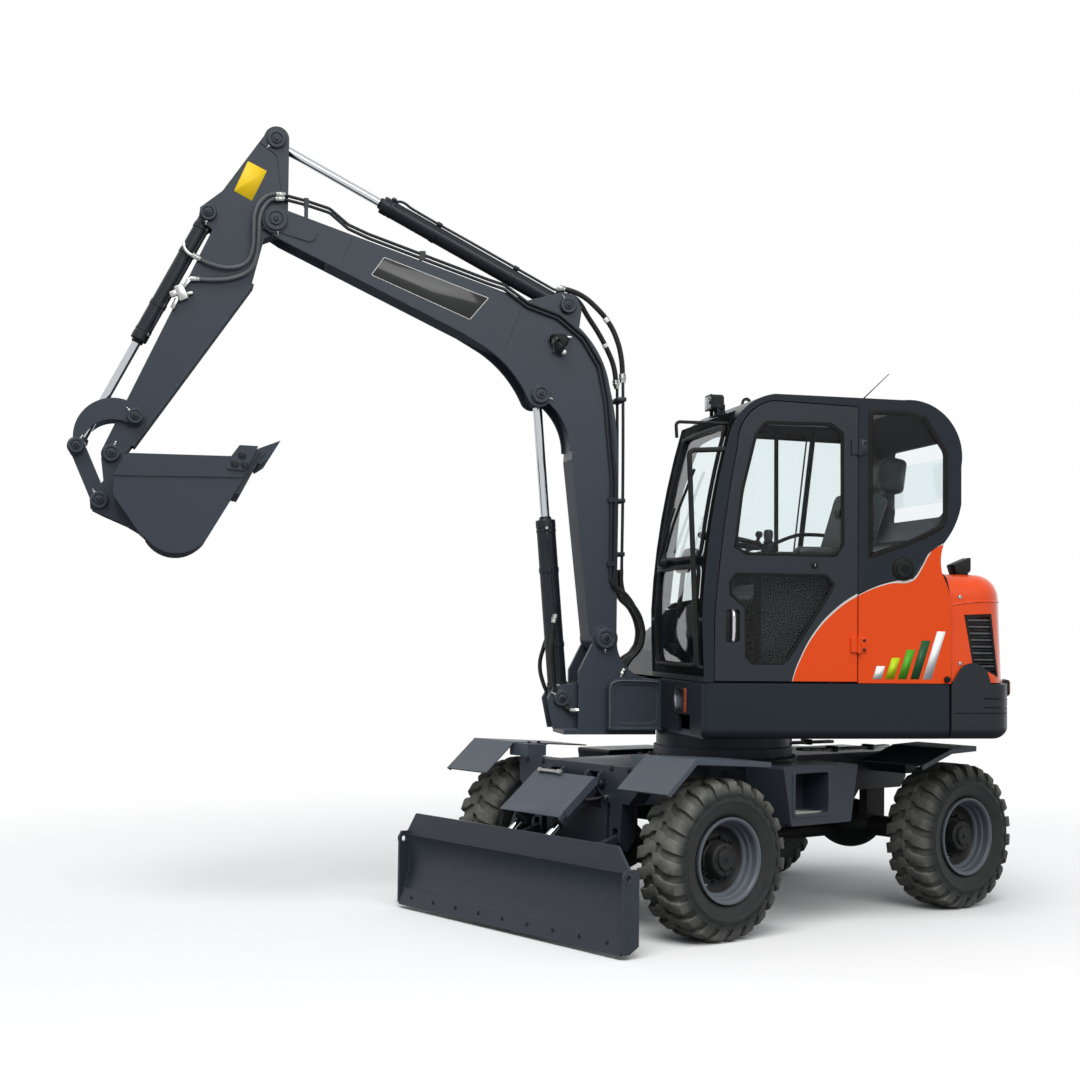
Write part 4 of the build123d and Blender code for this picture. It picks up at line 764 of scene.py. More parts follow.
for name, (base, eye, length, radius, rodRadius, turn) in rams.items():
    foot = pin[base]
    tip = Vector((eye[0], foot.y, eye[1]))
    alongRam = (tip - foot).normalized()
    barrel, rod = name + "_barrel", name + "_rod"
    lean = Vector((0, cos(radians(turn)), 0)) + Vector((0, 1, 0)).cross(alongRam) * sin(radians(turn))
    track = radius + 0.013

    def onTube(reach, out=0.0):
        # a place by the way along the tube, and the way out from its middle to the side of its pipe
        return foot + alongRam * reach + lean * out

    # gland: a wider turned collar with a spanner groove, then the wiper seal's lip
    gland = [lathe([(rodRadius + 0.003, 0.016), (radius * 0.62, 0.016), (radius * 0.7, 0.006),
        (radius * 0.98, 0.004), (radius + 0.0025, -0.001), (radius + 0.0025, -0.04),
        (radius + 0.0005, -0.043), (radius + 0.0005, -0.049), (radius + 0.0025, -0.052),
        (radius + 0.0025, -0.066), (radius - 0.002, -0.069)], onTube(length), alongRam, steps=40)]
    gland.append(lathe([(radius - 0.002, 0.064), (radius + 0.004, 0.058), (radius + 0.004, 0.03),
        (radius - 0.004, 0.02)], onTube(0.03), alongRam, steps=40))
    finish(gland, name + "_gland", barrelPaint, barrel, paintSlot="body_paint")
    lip = [lathe([(rodRadius + 0.0005, 0.024), (rodRadius + 0.005, 0.022), (rodRadius + 0.008, 0.016),
        (rodRadius + 0.008, 0.01), (rodRadius + 0.0005, 0.01)], onTube(length), alongRam, steps=30)]
    finish(lip, name + "_wiper_seal", sealRubber, barrel)
    eyeCollar = [lathe([(rodRadius + 0.0005, -0.066), (rodRadius + 0.01, -0.06), (rodRadius + 0.014, -0.04),
        (rodRadius + 0.018, -0.034)], tip, alongRam, steps=30)]
    finish(eyeCollar, name + "_eye_collar", slatePaint, rod)
    # pipe from the port block near the foot to the port at the gland
    run = [onTube(0.075, radius - 0.01), onTube(0.08, track), onTube(0.12, track),
        onTube(length * 0.5, track), onTube(length - 0.16, track), onTube(length - 0.085, track + 0.004),
        onTube(length - 0.05, radius - 0.006)]
    finish([addHose(run, 0.008)], name + "_pipe", barrelPaint, barrel)
    straps, ports = [], (0.078, length - 0.045)
    for spot in (length * 0.3, length * 0.72):
        straps.append(lathe([(radius - 0.001, 0.014), (radius + 0.0035, 0.014), (radius + 0.0035, -0.014),
            (radius - 0.001, -0.014)], onTube(spot), alongRam, steps=40))
        straps.append(addRod(onTube(spot - 0.016, track), onTube(spot + 0.016, track), 0.0125))
    for port in ports:
        straps.append(addRod(onTube(port, radius - 0.01), onTube(port, radius + 0.016), 0.016, sides=6))
    fittings = hexBolts([(onTube(port, radius + 0.011), lean) for port in ports], 0.017, False)
    finish(straps, name + "_straps", barrelPaint, barrel, paintSlot="body_paint")
    finish(fittings, name + "_fittings", zinc, barrel)
print("cylinders dressed")

# hoses: runs of rubber with crimped ferrules, and the rigid pipes down the back of the boom


def ferrule(place, facing, radius):
    # crimped sleeve with its nut
    return [lathe([(radius * 0.7, 0), (radius * 1.34, 0.001), (radius * 1.42, 0.006), (radius * 1.28, 0.009),
        (radius * 1.42, 0.013), (radius * 1.28, 0.017), (radius * 1.42, 0.021), (radius * 1.34, 0.034),
        (radius * 0.9, 0.036)], place, facing, steps=16), lathe([(radius * 0.6, 0.034),
        (radius * 1.15, 0.035), (radius * 1.15, 0.052), (radius * 0.6, 0.053)], place, facing, steps=6)]


def layHose(name, points, radius, bodies, between=None, ends=(True, True), cover=hoseRubber):
    # bodies: one body that it rides on, or the two that its joint joins. between, the two ends of the bend,
    # is read only as given or not: if given, the hose rides on no body and each ferrule rides on the body at
    # its end
    points = [Vector(place) for place in points]
    made = finish([addHose(points, radius, stretch=10)], name, cover, None if between else bodies[0])
    if between:
        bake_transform(made)
    for last, (place, inner) in enumerate(((points[0], points[1]), (points[-1], points[-2]))):
        if ends[last]:
            crimp = ferrule(place + (inner - place).normalized() * 0.03, place - inner, radius)
            finish(crimp, f"{name}_ferrule_{last + 1}", zinc, bodies[-1] if last else bodies[0])
    return made


armHoses = {
    "upper_arm_hose": ((2.6, -0.01, 3.993), (2.655, -0.004, 3.99), (2.705, 0.012, 3.955),
        (2.744, 0.022, 3.88), (2.75, 0.02, 3.78), (2.753, 0.012, 3.68), (2.785, 0.004, 3.6),
        (2.86, -0.002, 3.566), (2.986, -0.008, 3.582), (3.062, -0.02, 3.618)),
    "lower_arm_hose": ((2.604, -0.01, 3.968), (2.65, -0.006, 3.962), (2.692, 0.01, 3.92),
        (2.718, 0.02, 3.85), (2.722, 0.016, 3.74), (2.732, 0.006, 3.64), (2.768, -0.002, 3.558),
        (2.848, -0.008, 3.512), (2.967, -0.012, 3.493), (3.07, -0.018, 3.494)),
}
for name, points in armHoses.items():
    layHose(name, points, 0.0115, ("boom", "arm"), ((2.66, -0.12, 3.98), (2.76, -0.12, 3.62)),
        cover=sleeveGrey)

bendHoses = {
    "upper_bend_hose": ((0.985, -0.062, 3.556), (0.93, -0.05, 3.545), (0.85, -0.04, 3.51),
        (0.778, -0.034, 3.452), (0.705, -0.03, 3.37), (0.652, -0.03, 3.27), (0.622, -0.034, 3.16),
        (0.612, -0.036, 3.04)),
    "lower_bend_hose": ((0.9, -0.17, 3.545), (0.848, -0.176, 3.505), (0.79, -0.18, 3.42),
        (0.728, -0.18, 3.33), (0.672, -0.178, 3.23), (0.632, -0.174, 3.13), (0.616, -0.17, 3.02)),
}
layHose("upper_bend_hose", bendHoses["upper_bend_hose"], 0.0155, ("arm_cylinder_barrel", "boom"),
    ((0.985, -0.062, 3.556), (0.705, -0.03, 3.37)))
layHose("lower_bend_hose", bendHoses["lower_bend_hose"], 0.0155, ("boom",))
for name, side in (("left_back_pipe", -0.036), ("right_back_pipe", -0.172)):
    run = [(0.611, side, 3.06), (0.609, side, 2.94), (0.606, side, 2.7), (0.604, side, 2.3),
        (0.606, side, 1.92)]
    finish([addHose(run, 0.009)], name, barrelPaint, "boom")
clamps = [addBlock((0.62, -0.104, z), (0.056, 0.176, 0.024), 0.004) for z in (2.92, 2.33, 2.02)]
finish(clamps, "back_pipe_clamps", barrelPaint, "boom")
tags = [addRod((0.724, -0.03, 3.391), (0.706, -0.03, 3.368), 0.0165, 0.001),
    addRod((0.69, -0.179, 3.262), (0.678, -0.179, 3.242), 0.0165, 0.001)]
finish(tags, "hose_tags", vinyl["white"], "boom")

for row, side in enumerate((0.012, -0.036, -0.062, -0.088, -0.145, -0.172)):
    start = 0.61 if side < 0 else 0.672
    bow = 0.012 * (row % 3)
    layHose(f"foot_hose_{row + 1}", ((start, side, 1.93 - 0.05 * (side > 0)), (start - 0.002, side, 1.85),
        (0.585, side, 1.775), (0.535 - bow, side, 1.7), (0.498 - bow, side, 1.615), (0.492 - bow, side, 1.54),
        (0.518 - bow, side, 1.465), (0.57, side, 1.405), (0.61, side, 1.33)), 0.0145, ("upper", "boom"),
        ((0.56, -0.12, 1.44), (0.6, -0.12, 1.8)), (False, True))

layHose("boom_cylinder_front_hose", ((0.998, -0.046, 1.646), (1.01, -0.038, 1.56), (1.014, -0.036, 1.48),
    (1.006, -0.036, 1.347), (0.992, -0.034, 1.24), (0.955, -0.026, 1.165), (0.912, -0.008, 1.122),
    (0.88, 0.008, 1.12)), 0.0125, ("boom_cylinder_barrel",))
layHose("boom_cylinder_rear_hose", ((0.985, -0.188, 1.62), (1.008, -0.192, 1.54), (1.03, -0.192, 1.471),
    (1.05, -0.19, 1.38), (1.036, -0.184, 1.286), (0.996, -0.178, 1.2), (0.95, -0.17, 1.15)), 0.0125,
    ("boom_cylinder_barrel",))
print("hoses laid")

# fittings on the working gear

block = {"place": Vector((3.138, -0.02, 3.413)), "lean": radians(24)}


def onBlock(*move):
    return block["place"] + Vector(move)


manifold = [addBlock(onBlock(*move), size, 0.006, (0, block["lean"], 0))
    for move, size in (((0, 0, 0), (0.052, 0.046, 0.088)), ((0.038, 0.002, -0.006), (0.05, 0.034, 0.034)))]
manifold += [addRod(onBlock(-0.012, 0, 0.03), onBlock(-0.046, 0, 0.074), 0.0125, sides=6),
    addRod(onBlock(0.02, 0.002, -0.034), onBlock(0.044, 0.002, -0.09), 0.0155, 0.003, 6),
    addRod(onBlock(-0.026, 0, -0.006), onBlock(-0.062, 0, 0.004), 0.0135, sides=6)]
finish(manifold, "arm_manifold", zinc, "arm")
elbows = [addHose([(3.062, -0.02, 3.618), (3.098, -0.028, 3.636), (3.122, -0.045, 3.668),
    (3.128, -0.06, 3.704)], 0.0095), addHose([(3.07, -0.018, 3.494), (3.1, -0.02, 3.49),
    (3.112, -0.02, 3.476)], 0.0095)]
finish(elbows, "arm_pipe_elbows", zinc, "arm")

armPlate = {"corners": ((2.862, 4.003), (2.789, 4.177), (2.682, 4.127), (2.762, 3.952))}
plate = drawPlate([(x, -0.0355, z) for x, z in armPlate["corners"]], (0, 0.0015, 0), 0.0004, 0.006)
finish([plate], "arm_side_plate", plateYellow, "arm")
boomBadge = {"corners": ((2.092, 3.565), (2.02, 3.672), (1.414, 3.469), (1.522, 3.337)), "face": -0.0055}
plate = drawPlate([(x, boomBadge["face"], z) for x, z in boomBadge["corners"]], (0, 0.0022, 0), 0.0005, 0.008)
finish([plate], "boom_side_plate", badgeBlack, "boom")
line = drawBand([(x, boomBadge["face"] + 0.002, z) for x, z in boomBadge["corners"]], 0.004, (0, 0.0008, 0),
    0.0002, 0.008)
finish([line], "boom_side_plate_edge", vinyl["white"], "boom", paintSlot="body_paint")

# weld beads where the boom's plates meet, and round the boom foot's fork
seams = (((2.204, 3.766), (2.255, 3.64)), ((1.215, 3.444), (1.318, 3.182)), ((0.795, 1.87), (0.757, 1.735)),
    ((0.757, 1.735), (0.655, 1.88)))
beads = []
for start, end in seams:
    for side in (boomMiddle + 0.1145, boomMiddle - 0.1145):
        first, last = Vector((start[0], side, start[1])), Vector((end[0], side, end[1]))
        beads.append(addHose([first.lerp(last, share / 12) + Vector((0, 0, 0.0006 * (-1) ** share))
            for share in range(13)], 0.0032, 2, 3))
finish(beads, "boom_weld_beads", slatePaint, "boom")

# work lamp on the boom: a round die-cast dish on a yoke
boomLamp = {"place": Vector((1.01, 0.048, 3.225)), "facing": Vector((0.8, 0.35, -0.48)).normalized(),
    "dish": ((0, -0.058), (0.02, -0.056), (0.034, -0.04), (0.046, -0.012), (0.056, 0.01), (0.058, 0.024),
    (0.052, 0.026), (0.05, 0.018)), "lens": ((0, 0.026), (0.03, 0.024), (0.05, 0.018), (0.05, 0.012),
    (0, 0.012)), "bowl": ((0.049, 0.011), (0.036, -0.01), (0.012, -0.026), (0, -0.028))}
turned = {part: lathe(boomLamp[part], boomLamp["place"], boomLamp["facing"], steps=32)
    for part in ("dish", "lens", "bowl")}
dish = [turned["dish"], addBlock((1.0, 0.02, 3.212), (0.05, 0.04, 0.05), 0.006),
    addRod((1.0, 0.03, 3.212), boomLamp["place"] - boomLamp["facing"] * 0.02, 0.012)]
finish(dish, "boom_lamp_housing", blackPlastic, "boom")
finish([turned["lens"]], "boom_lamp_lens", lampGlass, "boom")
bracketBits = [turned["bowl"], addBlock((0.955, 0.014, 3.262), (0.05, 0.012, 0.012), 0.002),
    addBlock((0.975, 0.03, 3.22), (0.018, 0.02, 0.052), 0.003)]
bracketBits += hexBolts([((0.98, 0.036, 3.172), (0, 1, 0)), ((0.978, 0.041, 3.236), (0, 1, 0))], 0.016)
finish(bracketBits, "boom_lamp_bracket", zinc, "boom")
spots = [((x, y, z), (0, side, 0)) for y, side in ((0.252, 1), (-0.492, -1))
    for x, z in ((2.835, 2.453), (2.797, 2.5), (2.78, 2.448))]
finish(hexBolts(spots, 0.026), "bucket_cutter_bolts", darkZinc, "bucket")
print("working gear dressed")

# cab: glass seals

cabSide = 0.921
windows = {
    "upper": ((0.24, 2.03), (0.17, 1.989), (-0.336, 1.989), (-0.381, 2.05), (-0.376, 2.66), (-0.304, 2.713),
        (0.076, 2.709), (0.131, 2.634), (0.205, 2.33)),
    "lower": ((0.266, 1.846), (0.229, 1.896), (-0.28, 1.896), (-0.33, 1.846), (-0.309, 1.792),
        (-0.073, 1.437), (-0.038, 1.408), (0.136, 1.41), (0.175, 1.45), (0.179, 1.705), (0.263, 1.776)),
    "quarter": ((-0.52, 2.79), (-0.747, 2.79), (-0.849, 2.765), (-0.975, 2.577), (-0.975, 2.209),
        (-0.945, 2.154), (-0.779, 2.075), (-0.52, 1.985)),
    "right": ((0.33, 1.7), (-0.38, 1.84), (-0.56, 1.98), (-0.9, 2.13), (-0.96, 2.25), (-0.95, 2.64),
        (-0.86, 2.74), (0.02, 2.76), (0.15, 2.69), (0.26, 2.38)),
}


def swell(corners, grow):
    # the outline made larger all round
    middle = [sum(values) / len(corners) for values in zip(*corners)]
    reach = [max(values) - min(values) for values in zip(*corners)]
    return [tuple(m + (v - m) * (1 + 2 * grow / size) for v, m, size in zip(corner, middle, reach))
        for corner in corners]


def sealWindow(name, outline, face, push, body, width=0.018, rounded=0.035, grow=0.0):
    corners = [(x, face, z) for x, z in swell(outline, grow)]
    lip = drawBand(corners, width, (0, push, 0), 0.003, rounded)
    return finish([lip], name, sealRubber, body)


sealWindow("door_upper_seal", windows["upper"], 0.908, 0.0105, "door", 0.022, 0.036, 0.004)
sealWindow("door_lower_seal", windows["lower"], 0.908, 0.0105, "door", 0.02, 0.02, 0.004)
sealWindow("quarter_seal", windows["quarter"], 0.914, 0.009, "upper", 0.028, 0.026, 0.004)
sealWindow("right_window_seal", windows["right"], -0.094, 0.012, "upper", 0.03, 0.04)

screen = {"middle": 0.4155, "half": 0.3805, "cord": 0.013, "panes": (("upper", 1.985, 2.69),
    ("lower", 1.4, 1.93))}


def screenFace(z):
    # how far forward the bowed front of the cab stands at a height
    if z < 1.65:
        return 0.399 + 0.013 * (z - 1.315) / 0.335
    rise = (z - 1.65) / 0.992
    return 0.412 - 0.031 * rise - 0.114 * rise ** 2


for name, low, high in screen["panes"]:
    corner, route = 0.05, []
    side, top, bottom = screen["half"] - corner, high - corner, low + corner
    for turn, y, z in ((0, side, top), (90, -side, top), (180, -side, bottom), (270, side, bottom)):
        for step in range(4):
            angle = radians(turn + step * 30)
            route.append((y + corner * cos(angle), z + corner * sin(angle)))
        if turn == 90:
            route += [(-screen["half"], bottom + (top - bottom) * share) for share in (0.8, 0.6, 0.4, 0.2)]
    route += [(screen["half"], bottom + (top - bottom) * share) for share in (0.2, 0.4, 0.6, 0.8)]
    route.append(route[0])
    run = [(screenFace(z) - 0.004, screen["middle"] + y, z) for y, z in route]
    finish([addHose(run, screen["cord"], 3, 6)], name + "_screen_seal", sealRubber, "upper")


def dressStrip(low, high, yFrom, yTo):
    # a matt black strip on the bowed front, from one height to another
    heights = [low + (high - low) * step / 8 for step in range(9)]
    made = penStroke([(screenFace(z) + 0.0006, yFrom, z) for z in heights])
    pushOut((0, yTo - yFrom, 0))
    pickAll()
    pushOut((0.0018, 0, 0))
    return endStroke(made, 0.0006)


strips = [dressStrip(1.345, 2.76, 0.862, 0.9195), dressStrip(1.345, 2.76, -0.088, -0.03),
    dressStrip(1.345, 1.394, -0.03, 0.862), dressStrip(1.936, 1.979, -0.03, 0.862),
    dressStrip(2.696, 2.76, -0.03, 0.862)]
finish(strips, "screen_surround", frameBlack, "upper")
wiper = [addBlock((0.408, 0.13, 1.958), (0.03, 0.12, 0.044), 0.006), lathe([(0, 0.03), (0.01, 0.03),
    (0.014, 0.022), (0.014, 0)], (0.41, 0.15, 1.958), (1, 0, 0), steps=16),
    addHose([(0.436, 0.15, 1.958), (0.43, 0.21, 2.06), (0.398, 0.33, 2.27)], 0.007),
    addHose([(0.402, 0.18, 2.03), (0.388, 0.255, 2.16), (0.371, 0.33, 2.27), (0.348, 0.405, 2.38),
    (0.326, 0.47, 2.48)], 0.008)]
finish(wiper, "screen_wiper", blackPlastic, "upper")
print("glass sealed")

# cab door: handle, lock, hinges, and the pad that it opens against

handle = {"x": 0.243, "z": 1.614}
bow = ((0.911, -0.08), (0.926, -0.076), (0.934, -0.058), (0.936, 0))
bow += tuple((y, -rise) for y, rise in bow[2::-1])
grip = [addHose([(handle["x"], y, handle["z"] + rise) for y, rise in bow], 0.0095)]
finish(grip, "door_handle", chrome, "door")
cup = drawPlate([(handle["x"] + x, 0.9045, handle["z"] + z) for x, z in ((-0.037, -0.085), (0.037, -0.085),
    (0.037, 0.085), (-0.037, 0.085))], (0, 0.003, 0), 0.0008, 0.012)
finish([cup], "door_handle_cup", blackPlastic, "door")
lock = [lathe([(0, 0.01), (0.012, 0.01), (0.015, 0.008), (0.015, 0.004), (0.021, 0.003), (0.022, 0)],
    (-0.213, cabSide, 1.945), (0, 1, 0), steps=24)]
finish(lock, "door_lock_barrel", blackPlastic, "door")
keyway = addBlock((-0.213, cabSide + 0.0095, 1.945), (0.003, 0.002, 0.013), 0.0005)
finish([keyway], "door_lock_keyway", chrome, "door")

doorHinge = {"x": -0.463, "heights": (1.52, 2.586), "leaf": (0.036, 0.006, 0.082)}
leaves, doorScrews, bodyScrews = [], [], []
for z in doorHinge["heights"]:
    leaves.append(addBlock((doorHinge["x"] - 0.03, cabSide + 0.002, z), doorHinge["leaf"], 0.002))
    for dz in (-0.025, 0.025):
        doorScrews.append(((doorHinge["x"] + 0.034, cabSide + 0.0055, z + dz), (0, 1, 0)))
        bodyScrews.append(((doorHinge["x"] - 0.032, cabSide + 0.0045, z + dz), (0, 1, 0)))
finish(leaves, "door_hinge_leaves", twoTone, "upper")


def domeScrews(spots, radius):
    # button head with its socket
    return copyTo([lathe([(0, 0.002), (radius * 0.42, 0.002), (radius * 0.46, 0.0055),
        (radius * 0.78, 0.0045), (radius, 0.001), (radius, 0)], (0, 0, 0), upward, steps=14)], spots)


finish(domeScrews(doorScrews, 0.009), "door_hinge_screws", darkZinc, "door")
finish(domeScrews(bodyScrews, 0.009), "pillar_hinge_screws", darkZinc, "upper")
stop = lathe([(0, 0.024), (0.01, 0.024), (0.012, 0.02), (0.022, 0.021), (0.04, 0.018), (0.044, 0.012),
    (0.056, 0.01), (0.062, 0.005), (0.064, -0.001)], (-0.719, cabSide + 0.002, 1.933), (0, 1, 0), steps=36)
finish([stop], "door_stop_pad", sealRubber, "upper")

# cab: roof, lamps, aerial

roof = {"plate": ((-0.02, 0.84), (-0.62, 0.84), (-0.72, 0.76), (-0.72, 0.06), (-0.62, -0.02), (-0.02, -0.02)),
    "top": 2.853}
panel = drawPlate([(x, y, roof["top"]) for x, y in roof["plate"]], (0, 0, 0.012), 0.005, 0.03)
ribs = [addBlock((-0.35, y, roof["top"] + 0.014), (0.52, 0.05, 0.01), 0.004) for y in (0.15, 0.41, 0.67)]
finish([panel] + ribs, "roof_panel", cabPaint, "upper")

x, y, z = 0.222, 0.5, 2.85
bezel = [drawBand(oblong(x + 0.03, y, z, 0.062, 0.044), 0.01, (0.008, 0, 0), 0.002, 0.012)]
bezel += [addBlock((x - 0.032, y + dy, z), (0.016, 0.005, 0.066), 0.001)
    for dy in (-0.048, -0.032, -0.016, 0, 0.016, 0.032, 0.048)]
bezel += [addRod((x - 0.004, y + side * 0.06, z - 0.028), (x - 0.004, y + side * 0.07, z - 0.028), 0.012)
    for side in (-1, 1)]
finish(bezel, "work_lamp_bezel", blackPlastic, "upper")
bowls = [lathe([(0.021, 0.006), (0.016, 0.001), (0.006, 0.0), (0, 0.0)], (x + 0.031, y + dy, z + dz),
    (1, 0, 0), steps=16) for dy in (-0.028, 0.028) for dz in (-0.019, 0.019)]
finish(bowls, "work_lamp_bowls", chrome, "upper")
pane = addBlock((x + 0.0375, y, z), (0.004, 0.108, 0.072), 0.001)
finish([pane], "work_lamp_lens", lampGlass, "upper")
yoke = [addBlock((x - 0.004, y + side * 0.066, z - 0.046), (0.022, 0.005, 0.06), 0.002) for side in (-1, 1)]
yoke.append(addBlock((x - 0.004, y, z - 0.074), (0.026, 0.137, 0.005), 0.002))
yoke.append(addBlock((x - 0.03, y, z - 0.058), (0.06, 0.03, 0.034), 0.004))
finish(yoke, "work_lamp_yoke", cabPaint, "upper")

rear = [lathe([(0, 0.03), (0.016, 0.028), (0.02, 0.02), (0.021, 0.0)], (-1.1, 0.75, 2.565), (-1, 0, -0.1),
    steps=20), addBlock((-1.085, 0.75, 2.6), (0.03, 0.024, 0.024), 0.004),
    addRod((-1.12, 0.732, 2.56), (-1.12, 0.732, 2.525), 0.004)]
finish(rear, "rear_lamp_body", blackPlastic, "upper")

aerial = {"foot": Vector((-0.612, 0.5, 2.865)), "tip": Vector((-0.813, 0.5, 3.057))}
direction = (aerial["tip"] - aerial["foot"]).normalized()
mast = [lathe([(0, 0.022), (0.006, 0.022), (0.009, 0.014), (0.022, 0.006), (0.025, 0)],
    aerial["foot"] - Vector((0, 0, 0.002)), upward, steps=20), addRod(aerial["foot"], aerial["tip"], 0.0042,
    0.001, 10, 0.0022), addRod(aerial["foot"], aerial["foot"] + direction * 0.05, 0.0075, 0.001, 12, 0.0045)]
finish(mast, "aerial", blackPlastic, "upper")
print("cab dressed")

# cab: what shows through the glass

catch = [addBlock((-0.352, 0.896, 2.225), (0.03, 0.014, 0.052), 0.005),
    lathe([(0, 0.018), (0.011, 0.018), (0.014, 0.012), (0.009, 0.004), (0.009, 0)], (-0.352, 0.888, 2.236),
    (0, -1, 0), steps=16)]
finish(catch, "window_catch", blackPlastic, "door")
bars = {"y": -0.05, "runs": (((-0.334, 2.82), (-0.339, 1.86), 0.013), ((-0.573, 2.82), (-0.47, 1.93), 0.016),
    ((-0.535, 2.82), (-0.432, 1.92), 0.005))}
guard = [addRod((top[0], bars["y"], top[1]), (low[0], bars["y"], low[1]), radius)
    for top, low, radius in bars["runs"]]
guard.append(addHose([(-0.06, 0.08, 2.0), (-0.095, 0.09, 2.042), (-0.247, 0.1, 2.086), (-0.4, 0.1, 2.143),
    (-0.44, 0.1, 2.15), (-0.679, 0.095, 2.143), (-0.72, 0.08, 2.14)], 0.011))
finish(guard, "inner_rails", blackPlastic, "upper")

wheel = {"hub": Vector((0.086, 0.41, 2.088)), "tilt": Vector((-0.19, 0, 0.982)), "radius": 0.178,
    "rim": 0.0135, "foot": Vector((0.25, 0.41, 1.376))}
dropAll()
bpy.ops.mesh.primitive_torus_add(major_radius=wheel["radius"], minor_radius=wheel["rim"], major_segments=56,
    minor_segments=12, location=wheel["hub"], rotation=turnTo(wheel["tilt"]))
ring = bpy.context.object
acrossWheel = Vector((0, 1, 0))
aheadWheel = acrossWheel.cross(wheel["tilt"]).normalized()
steering = [ring, lathe([(0, 0.016), (0.03, 0.014), (0.042, 0.004), (0.042, -0.02), (0.026, -0.036)],
    wheel["hub"], wheel["tilt"])]
for turn in (90, 210, 330):
    reach = acrossWheel * cos(radians(turn)) + aheadWheel * sin(radians(turn))
    steering.append(addHose([wheel["hub"] + reach * 0.036 - wheel["tilt"] * 0.012,
        wheel["hub"] + reach * 0.1 - wheel["tilt"] * 0.01, wheel["hub"] + reach * 0.168], 0.0105))
knob = wheel["hub"] + (acrossWheel * 0.8 - aheadWheel * 0.55).normalized() * wheel["radius"]
steering.append(lathe([(0, 0.072), (0.014, 0.07), (0.021, 0.058), (0.019, 0.042), (0.01, 0.034), (0.01, 0.02),
    (0.018, 0.016), (0.018, 0.0)], knob, wheel["tilt"], steps=20))
column = [lathe([(0.022, 0.735), (0.024, 0.6), (0.03, 0.6), (0.034, 0.585), (0.052, 0.57), (0.06, 0.52),
    (0.06, 0.4), (0.044, 0.36), (0.042, 0.3)] + [(0.04 + 0.006 * (fold % 2), 0.29 - 0.022 * fold)
    for fold in range(9)] + [(0.05, 0.08), (0.075, 0.03), (0.082, 0.0)], wheel["foot"],
    wheel["hub"] - wheel["foot"])]
finish(steering + column, "steering_wheel", blackPlastic, "upper", ["steering_column"])

# foot plate with two travel pedals and their rods, floor mat, and the display on its stalk
pedals = []
for plateY, knobY in ((0.291, 0.274), (0.529, 0.546)):
    pedals += [addBlock((0.15, plateY, 1.44), (0.19, 0.08, 0.012), 0.004, (0, radians(-24), 0)),
        addRod((0.13, plateY, 1.44), (0.09, plateY, 1.372), 0.01), addRod((0.185, plateY, 1.455),
        (0.15, knobY, 1.76), 0.008), lathe([(0, 0.06), (0.014, 0.056), (0.017, 0.04), (0.012, 0.004), (0, 0)],
        (0.15, knobY, 1.745), (-0.1, 0, 1), steps=16)]
finish(pedals, "travel_pedals", blackPlastic, "upper")
mat = drawPlate([(x, y, 1.361) for x, y in ((0.34, -0.02), (0.34, 0.85), (-0.42, 0.85), (-0.42, -0.02))],
    (0, 0, 0.008), 0.002, 0.04)
ridges = [addBlock((0.3 - 0.03 * row, 0.415, 1.37), (0.01, 0.8, 0.005), 0.0015) for row in range(22)]
finish([mat] + ridges, "floor_mat", matRubber, "upper")
display = [addBlock((0.25, 0.1, 1.985), (0.04, 0.2, 0.15), 0.014, (0, radians(-24), 0)),
    addRod((0.262, 0.07, 1.93), (0.3, 0.04, 1.5), 0.014), addBlock((0.3, 0.05, 1.44), (0.08, 0.09, 0.15),
    0.02)]
finish(display, "display_housing", blackPlastic, "upper")
glassFace = addBlock((0.2305, 0.1, 1.9935), (0.003, 0.168, 0.116), 0.001, (0, radians(-24), 0))
finish([glassFace], "display_face", enamel("black glass display", "#0B0F14", 0.08, dust=0.0, coat=1.0),
    "upper")

# side consoles: moulded tops with arm pads, boots and levers over the plain boxes
consoleTop = 1.96
levers, armPads, trims = [], [], []
for y in (0.07, 0.75):
    trims.append(addBlock((-0.17, y, consoleTop + 0.006), (0.45, 0.138, 0.03), 0.012))
    trims.append(addBlock((-0.17, y, 1.69), (0.444, 0.136, 0.02), 0.006))
    trims.append(lathe([(0.048, 0.0)] + [(0.044 - 0.003 * fold + 0.004 * (fold % 2), 0.01 + 0.012 * fold)
        for fold in range(8)] + [(0.014, 0.11)], (-0.01, y, consoleTop + 0.018), upward, steps=20))
    levers.append(lathe([(0, 0.15), (0.018, 0.147), (0.025, 0.136), (0.026, 0.114), (0.021, 0.088),
        (0.0225, 0.06), (0.0225, 0.03), (0.026, 0.014), (0.024, 0.0), (0, 0)], (-0.01, y, 1.99), (0, 0, 1),
        steps=20))
    armPads.append(addBlock((-0.3, y, consoleTop + 0.062), (0.26, 0.096, 0.056), 0.022))
    armPads.append(addRod((-0.36, y, consoleTop + 0.005), (-0.36, y, consoleTop + 0.05), 0.016))
trims += [addBlock((-0.09 - 0.045 * key, 0.07, consoleTop + 0.024), (0.03, 0.022, 0.01), 0.003)
    for key in range(4)]
finish(trims, "console_tops", trimPlastic, "upper")
finish(levers, "control_levers", blackPlastic, "upper")
finish(armPads, "arm_pads", moulded("stippled vinyl over foam", "#16181A", 0.5, grainSize=0.002), "upper",
    paintSlot="seat_fabric")
ceiling = drawPlate([(x, y, 2.812) for x, y in ((0.02, 0.0), (0.02, 0.84), (-0.74, 0.84), (-0.74, 0.0))],
    (0, 0, -0.014), 0.006, 0.05)
shade = drawPlate([(0.12, y, 2.76) if low else (0.06, y, 2.792) for y,
    low in ((0.05, 1), (0.78, 1), (0.78, 0), (0.05, 0))], (-0.006, 0, -0.004), 0.002)
finish([ceiling, shade], "headlining", moulded("moulded felt headlining", "#34383B", 0.95, grainSize=0.003,
    sheen=0.3), "upper", paintSlot="seat_fabric")
print("cab fitted out")

# seat: cushion, backrest and head pad as stuffed pieces, on a sprung base

